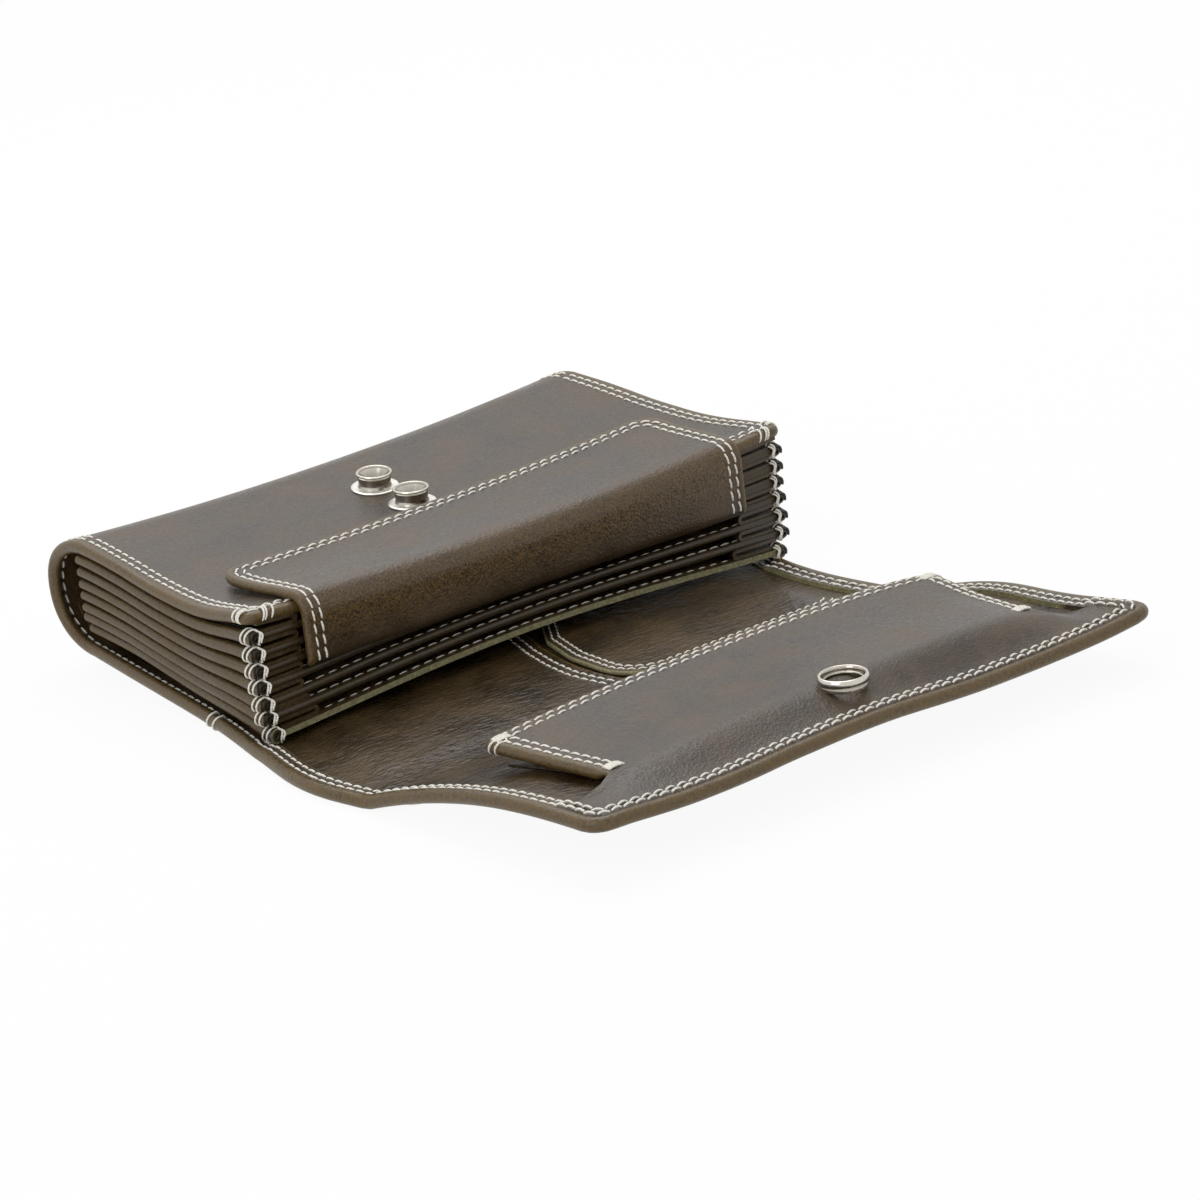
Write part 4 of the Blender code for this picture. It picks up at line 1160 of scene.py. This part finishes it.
def coin_sag(across, t):
    """The pouch stands up in its middle. Behind the hinge it comes down onto the flap's turned edge."""
    depth = -SEAT_END + t
    reach, power = FAR_CROWN if across > COIN_MIDDLE else NEAR_CROWN
    crown = 1 - min(1.0, abs(across - COIN_MIDDLE) / reach) ** power
    crown *= 1 - 0.25 * swell(depth, -0.104, 0.014)
    far_drop = COIN_FAR_DROP * rises(across, 0.055, 0.020) * rises(-depth, 0.085, 0.020)
    plain = COIN_LIFT + COIN_CROWN * crown - far_drop
    low = flap_underside(depth) + end_wave(across, depth) + SEAT_LIFT - COIN_LEVEL
    edge = max(rises(abs(across), 0.068, 0.014), rises(-depth, 0.1265, 0.0165))
    dive = SEAT_DIVE * rises(-depth, SEAT_END - 0.0012, 0.0012)
    behind = rises(-depth, COIN_HINGE, 0.004)
    return plain + ((low - plain) * edge - dive) * behind


coin = Sheet(
    lambda t: (t - SEAT_END, COIN_LEVEL, 0.0, 1.0), coin_length, coin_edges, end="turned",
    bead=lambda t: COIN_HALF + (BEAD - COIN_HALF) * rises(t, SEAT_END - COIN_HINGE, 0.003),
    plain=COIN_HALF, corner=0.0035, flush=-1.0, sag=coin_sag,
)
coin_piece = coin.build("coin_pouch_leather", unlined, step=0.0016, count=50)


# Slip pockets: their visible edges stand up, and the rest runs out into the flap's lining

RIGHT_KNOTS = [(0.0110, 0.0098), (-0.0005, 0.0028), (-0.0166, -0.0013), (-0.0305, -0.0018)]
LEFT_KNOTS = [(0.0132, 0.0049), (-0.0023, 0.0002), (-0.0148, -0.0025), (-0.0254, -0.0037),
              (-0.0335, -0.0032), (-0.0406, -0.0020), (-0.0540, 0.0015)]
POCKET_SINK = 0.0016


def pocket_edge(depth, knots):
    return float(np.interp(-depth, [-d for d, _ in knots], [x for _, x in knots]))


def right_sag(across, t):
    return -POCKET_SINK * rises(across, body_edges(POCKET_START - t)[1] - 0.0210, 0.011)


def left_sag(across, t):
    depth = POCKET_START - t
    aside = falls(across, body_edges(depth)[0] + 0.0240, 0.012)
    return -POCKET_SINK * max(aside, rises(-depth, 0.040, 0.012))


right_pocket = Sheet(
    upright_path(POCKET_START, lambda depth: RIGHT_HEIGHT), RIGHT_LENGTH,
    lambda t: (pocket_edge(POCKET_START - t, RIGHT_KNOTS), body_edges(POCKET_START - t)[1] - RIGHT_INSET),
    end="turned", bead=RIGHT_HALF, plain=RIGHT_HALF, corner=0.0140, sag=right_sag,
)
left_pocket = Sheet(
    upright_path(POCKET_START, lambda depth: LEFT_HEIGHT), LEFT_LENGTH,
    lambda t: (body_edges(POCKET_START - t)[0] + LEFT_INSET, pocket_edge(POCKET_START - t, LEFT_KNOTS)),
    bead=LEFT_BEAD, plain=LEFT_HALF, sag=left_sag,
)
right_piece = right_pocket.build("slip_pocket_right_leather", (cut_edge, grained_calf, cut_edge), step=0.0015)
left_piece = left_pocket.build("slip_pocket_left_leather", (grained_calf,) * 3, step=0.0015)


# Coin gussets

def coin_gusset(side, name, half=0.0003):
    points, grid = [], []
    outer, inner = side * 0.0690, side * 0.0590
    for k in range(13):
        depth = -COIN_MOUTH - 0.0010 - 0.029 * k / 12
        low = flap_middle(depth) + COVER_HALF + TOUCH + half
        high = COIN_LEVEL + coin_sag(outer, SEAT_END + depth) - COIN_HALF - TOUCH - half
        radius = (high - low) / 2
        line = [Vector((outer + (inner - outer) * s, 0, low)) for s in (0, 0.33, 0.66)]
        for angle in (math.pi * step / 8 for step in range(9)):
            across = inner - side * radius * 0.5 * math.sin(angle)
            line.append(Vector((across, 0, low + radius * (1 - math.cos(angle)))))
        line += [Vector((inner + (outer - inner) * s, 0, high)) for s in (0.33, 0.66, 1)]
        grid.append(leaf_ring(line, half, depth, points))
    return made_piece(name, points, skin(grid), (grained_calf,))


coin_gussets = {end: coin_gusset(side, f"coin_pouch_side_{end}") for side, end in ((-1, "near"), (1, "far"))}


# Hardware

def lathe(name, profile, place, tilt, look, ring=False, shade=None, segments=72):
    """A turned piece. shade gives, at a radius and height, how much painted shade darkens the metal."""
    points, faces, rows = [], [], []
    for radius, height in profile:
        more = [Vector((radius * math.cos(a), radius * math.sin(a), height)) for a in circle(segments)]
        if radius <= 0:
            more = [Vector((0, 0, height))]
        rows.append(range(len(points), len(points) + len(more)))
        points += more
    pairs = list(zip(rows, rows[1:])) + ([(rows[-1], rows[0])] if ring else [])
    for here, there in pairs:
        for k in range(segments):
            n = (k + 1) % segments
            corners = [here[k % len(here)], here[n % len(here)], there[n % len(there)], there[k % len(there)]]
            corners = list(dict.fromkeys(corners))
            if len(corners) > 2:
                faces.append(corners)
    turn = Matrix.Translation(place) @ Matrix.Rotation(tilt, 4, "X")
    shades = [shade(math.hypot(p.x, p.y), p.z) if shade else 0.0 for p in points]
    return made_piece(name, [turn @ p for p in points], faces, (look,), None, {"shade": shades})


def rounded(corners, radius, steps=5):
    """A profile whose corners, other than the ends, are rounded to a radius."""
    result = [corners[0]]
    for before, here, after in zip(corners, corners[1:], corners[2:]):
        a, b, c = Vector(before), Vector(here), Vector(after)
        cut = min(radius, (a - b).length * 0.45, (c - b).length * 0.45)
        first, last = b + (a - b).normalized() * cut, b + (c - b).normalized() * cut
        for s in (k / steps for k in range(steps + 1)):
            result.append(tuple(first * (1 - s) ** 2 + b * 2 * s * (1 - s) + last * s**2))
    return result + [corners[-1]]


def centre_of(node):
    low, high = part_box(node)
    return (low + high) / 2


def cup_shade(radius, height):
    """Painted shade and painted dark reflections: darker below the rolled lip and in a ring inside it, toward
    the bottom of the cup, and in two bands down its outer wall.
    """
    if radius < 0.0044:
        return 0.9 * falls(radius, 0.0034, 0.0018) + 0.6 * swell(radius, 0.0043, 0.0003)
    return 0.45 * swell(height, 0.0026, 0.0011) + 0.3 * swell(height, 0.0006, 0.0004)


def socket_shade(radius, height):
    """Painted shade: darker inside the ring and in its outer groove."""
    groove = swell(height, 0.0015, 0.0006) * rises(radius, 0.0060, 0.0003)
    return 0.7 * falls(radius, 0.0058, 0.0006) + 0.55 * groove


# Profiles as (radius, height), in metres
DISC = [(0.0030, 0.0001), (0.0030, 0.0006), (0.0064, 0.0006), (0.00685, 0.0004), (0.00685, 0.0001)]
CUP = [
    (0, 0.0004), (0.0050, 0.0004), (0.0048, 0.0009), (0.0046, 0.0016), (0.0047, 0.0036),
    (0.0050, 0.0040), (0.0052, 0.0044), (0.0050, 0.0048), (0.0046, 0.0048), (0.0041, 0.0042),
    (0.0022, 0.0016), (0.0012, 0.0015), (0.0009, 0.0008), (0, 0.0008),
]
RIVET = [(0, 0), (0.0048, 0), (0.0046, 0.0004), (0.0030, 0.0007), (0, 0.0008)]
SOCKET = [
    (0.00515, 0.0), (0.0064, 0.0), (0.0066, 0.0009), (0.0064, 0.0015), (0.0067, 0.0021),
    (0.0067, 0.0027), (0.0063, 0.0033), (0.0059, 0.0034), (0.0056, 0.0031), (0.0054, 0.0026),
    (0.0054, 0.0020), (0.0052, 0.0018),
]
WIRE = [(0.0050 + 0.00040 * math.cos(a), 0.0017 + 0.00040 * math.sin(a)) for a in circle(12)]

hardware = []
for name in ("front", "rear"):
    depth = centre_of(f"washer_{name}").y - MOUTH_Y
    tilt = math.atan2(rise_over_step(lambda depth: wall_height(1, 0, depth), depth), SLOPE_STEP)
    up = Vector((0, -math.sin(tilt), math.cos(tilt)))
    seat = at(0, depth, wall_height(1, 0, depth)) + up * (COVER_HALF - TOUCH)
    under = seat - up * (0.0002 + 2 * COVER_HALF)
    washer = lathe(f"washer_{name}_plate", rounded(DISC, 0.00012), seat, tilt, bright_nickel, ring=True)
    stud = lathe(f"stud_{name}_cup", rounded(CUP, 0.00020), seat, tilt, nickel, shade=cup_shade)
    rivet = lathe(f"stud_back_{name}_rivet", rounded(RIVET, 0.0002), under, tilt + math.pi, nickel)
    hardware += [(washer, f"washer_{name}", "wall_1"), (stud, f"stud_{name}", "wall_1")]
    hardware.append((rivet, f"stud_back_{name}", "wall_1"))

ring_depth = centre_of("snap_ring").y - MOUTH_Y
ring_base = at(0, ring_depth, coin.point(0, 0.5, SEAT_END + ring_depth)[0].z - 0.0004)
turned = rounded(SOCKET + [SOCKET[0]], 0.0003)[:-1]
ring = lathe("snap_socket_ring", turned, ring_base, 0.0, nickel, ring=True, shade=socket_shade)
spring = lathe("snap_spring", WIRE, ring_base, 0.0, spring_steel, ring=True)
hardware += [(ring, "snap_ring", "flap_end"), (spring, "spring_ring", "flap_end")]
for node, radius, tall in (("socket_cap", 0.0065, 0.0012), ("flap_cap", 0.0052, 0.0016)):
    middle = centre_of(node)
    depth = middle.y - MOUTH_Y
    slope = math.atan2(rise_over_step(flap_underside, depth), SLOPE_STEP)
    dome = [(radius * r, tall * h) for r, h in ((0, 0), (1, 0), (1, 0.3), (0.86, 0.8), (0.5, 0.97), (0, 1))]
    place = Vector((middle.x, middle.y, flap_underside(depth) + TOUCH))
    cap = lathe(f"{node}_dome", rounded(dome, 0.0004), place, slope + math.pi, nickel)
    hardware.append((cap, node, "flap_end"))
for piece, node, body in hardware:
    mount(piece, node, [node], body)


# Stitch rows

def pressed(run):
    """Rows under the base lie in the leather, so that it rests on its surface and not on thread."""
    return [(place - up * PRESSED * falls(place.z, 0.0040, 0.0020), up) for place, up in run]


def raised(run):
    """Rows on the flap's border go over the pouch's leather where that lies on the border."""
    return [
        (place + up * (rises(MOUTH_Y - place.y, COIN_HINGE, 0.006) * OVER_POUCH), up) for place, up in run
    ]


sewing = {
    "cover_top": sewn("cover_top_stitches", [cover_top.end_run(inset, 0.004) for inset in ROW_INSETS]),
    "tongue": sewn("tongue_stitches", [tongue.end_run(inset, 0.0125) for inset in TONGUE_ROWS]),
}
cover_rows = []
for side in (-1, 1):
    for inset in ROW_INSETS:
        cover_rows.append(pressed(cover.side_run(side, inset, 0.0, cover_length - 0.003, -1)))
        cover_rows.append(cover.side_run(side, inset, 0.0, FLAP_JOIN + 0.002))
    cover_rows.append(cover.side_run(side, ROW_INSETS[0] + 0.0008, FLAP_JOIN + 0.0056, cover_length - 0.006))
sewing["cover_back"] = sewn("cover_stitches", cover_rows)
flap_rows = [raised(flap.end_run(inset, 0.0015)) for inset in ROW_INSETS]
flap_rows += [pressed(flap.end_run(inset, 0.0015, -1)) for inset in ROW_INSETS]
sewing["flap_end"] = sewn("flap_stitches", flap_rows)
seat_run = SEAT_END - COIN_HINGE
coin_rows = [coin.end_run(inset, seat_run + 0.001) for inset in COIN_ROWS]
sewing["coin_panel"] = sewn("coin_pouch_stitches", coin_rows)
right_rows = [right_pocket.end_run(inset, 0.001, sides=(-1,)) for inset in RIGHT_ROWS]
sewing["slip_pocket_right"] = sewn("slip_pocket_right_stitches", right_rows, 0.0030, 0.00026, 0.0006)
left_rows = [left_pocket.side_run(1, inset, 0.001, 0.0600) for inset in LEFT_ROWS]
sewing["slip_pocket_left"] = sewn("slip_pocket_left_stitches", left_rows, 0.0032, 0.00028, 0.0006)
wall_sewing = {}
for number in range(TONGUE_WALL, WALL_COUNT + 1):
    rows = [walls[number].across_run(0.0024 + 0.0006 * (number % 2), 0.07, 0.93)]
    wall_sewing[number] = sewn(f"wall_{number}_stitches", rows, 0.0040, 0.00020, 0.0004, 2.0)


# Bartacks, and loops of thread over the edges

def tack(centre, count, spacing, half=0.0024, rise=0.0004):
    """Threads laid close together, each across the row."""
    return [
        [centre + Vector((0, 1, 0)) * (k - count / 2) * spacing + Vector((1, 0, 0)) * s
         + Vector((0, 0, rise * (1 - (s / half) ** 2))) for s in (-half, -half / 2, 0, half / 2, half)]
        for k in range(count)
    ]


tack_lines = []
for side in (-1, 1):
    tack_lines += tack(coin.point(side, 0.0038, seat_run + 0.0010)[0], 5, 0.0006)
    tack_lines += tack(coin.point(side, 0.0038, coin_length - 0.0036)[0], 4, 0.0008)
tacks = threads("coin_pouch_bartacks", tack_lines, closed=False)


def edge_loops(sheet, inset, places, radius, lean):
    """Loops round a sheet's two side beads at places along it."""
    loops = []
    for side in (-1, 1):
        for t in places:
            top, bottom, *_ = sheet.point(side, inset, t)
            loops.append(wrap((top + bottom) / 2, radius, lean * side))
    return loops


pouch_loops = edge_loops(coin, 0.0016, (coin_length - 0.0034, coin_length - 0.0056), 0.00170, 0.3)
pouch_binding = threads("coin_pouch_binding", pouch_loops)
base_loops = edge_loops(cover, EDGE_BEAD, (FLAP_JOIN + 0.0250, FLAP_JOIN + 0.0285), EDGE_BEAD + TOUCH, 0.45)
base_loops = [[Vector((p.x, p.y, max(p.z, THREAD))) for p in loop] for loop in base_loops]
base_binding = threads("base_edge_binding", base_loops)

# Joints on the frame: the bodies on either side of each joint, and two points on the line between them.
# Pieces mounted at a joint are not blended; their transforms are only baked.

mouth_fold = ("base", "flap_front", at(0, 0.0000, BEAD), at(0, -0.0150, BEAD))
end_fold = ("flap_front", "flap_end", at(0, -0.0475, BEAD), at(0, -0.0635, BEAD))
foot = ("wall_4", "tongue", at(0, -0.0030, 0.0230), at(0, -0.0030, 0.0262))
lid = ("flap_end", "coin_panel", at(0, -0.1265, COIN_LEVEL), at(0, -0.1215, COIN_LEVEL))
pouch_side = ("flap_end", "coin_panel", at(0, -0.090, 0.0095), at(0, -0.090, 0.0140))

mount(cover_piece, "cover_back", ["cover_back"], *mouth_fold)
mount(flap_piece, "flap_end", ["flap_end", "flap_front"], *end_fold)
mount(tongue_piece, "tongue", ["tongue", "tongue_root"], *foot)
mount(coin_piece, "coin_panel", ["coin_panel", "coin_seat"], *lid)
mount(right_piece, "slip_pocket_right", ["slip_pocket_right"], *mouth_fold)
mount(left_piece, "slip_pocket_left", ["slip_pocket_left"], *mouth_fold)
for slot, joint in (
    ("cover_back", mouth_fold), ("slip_pocket_right", mouth_fold), ("slip_pocket_left", mouth_fold),
    ("flap_end", end_fold), ("coin_panel", lid), ("tongue", foot),
):
    mount(sewing[slot], slot, [], *joint)
mount(tacks, "coin_panel", [], *lid)
mount(pouch_binding, "coin_panel", [], "coin_panel")
mount(base_binding, "cover_back", [], "base")
mount(sewing["cover_top"], "cover_top", [], "wall_1")
mount(top_piece, "cover_top", ["cover_top"], "wall_1")
for number in range(1, WALL_COUNT + 1):
    node, body = NODES[number], BODIES[number]
    mount(bindings[number], node, [], body)
    if number > 1:
        mount(wall_pieces[number], node, [node], body)
        mount(rolls[number], node, [], body)
    if number in wall_sewing:
        mount(wall_sewing[number], node, [], body)
for end, piece in coin_gussets.items():
    mount(piece, f"coin_gusset_{end}", [f"coin_gusset_{end}"], *pouch_side)

SHEETS = [(cover_piece, cover), (flap_piece, flap), (top_piece, cover_top), (tongue_piece, tongue),
          (coin_piece, coin), (right_piece, right_pocket), (left_piece, left_pocket)]
SHEETS += [(wall_pieces[number], walls[number]) for number in walls]
for piece, sheet in SHEETS:
    widths = [right - left for left, right in (sheet.edges(sheet.length * k / 20) for k in range(21))]
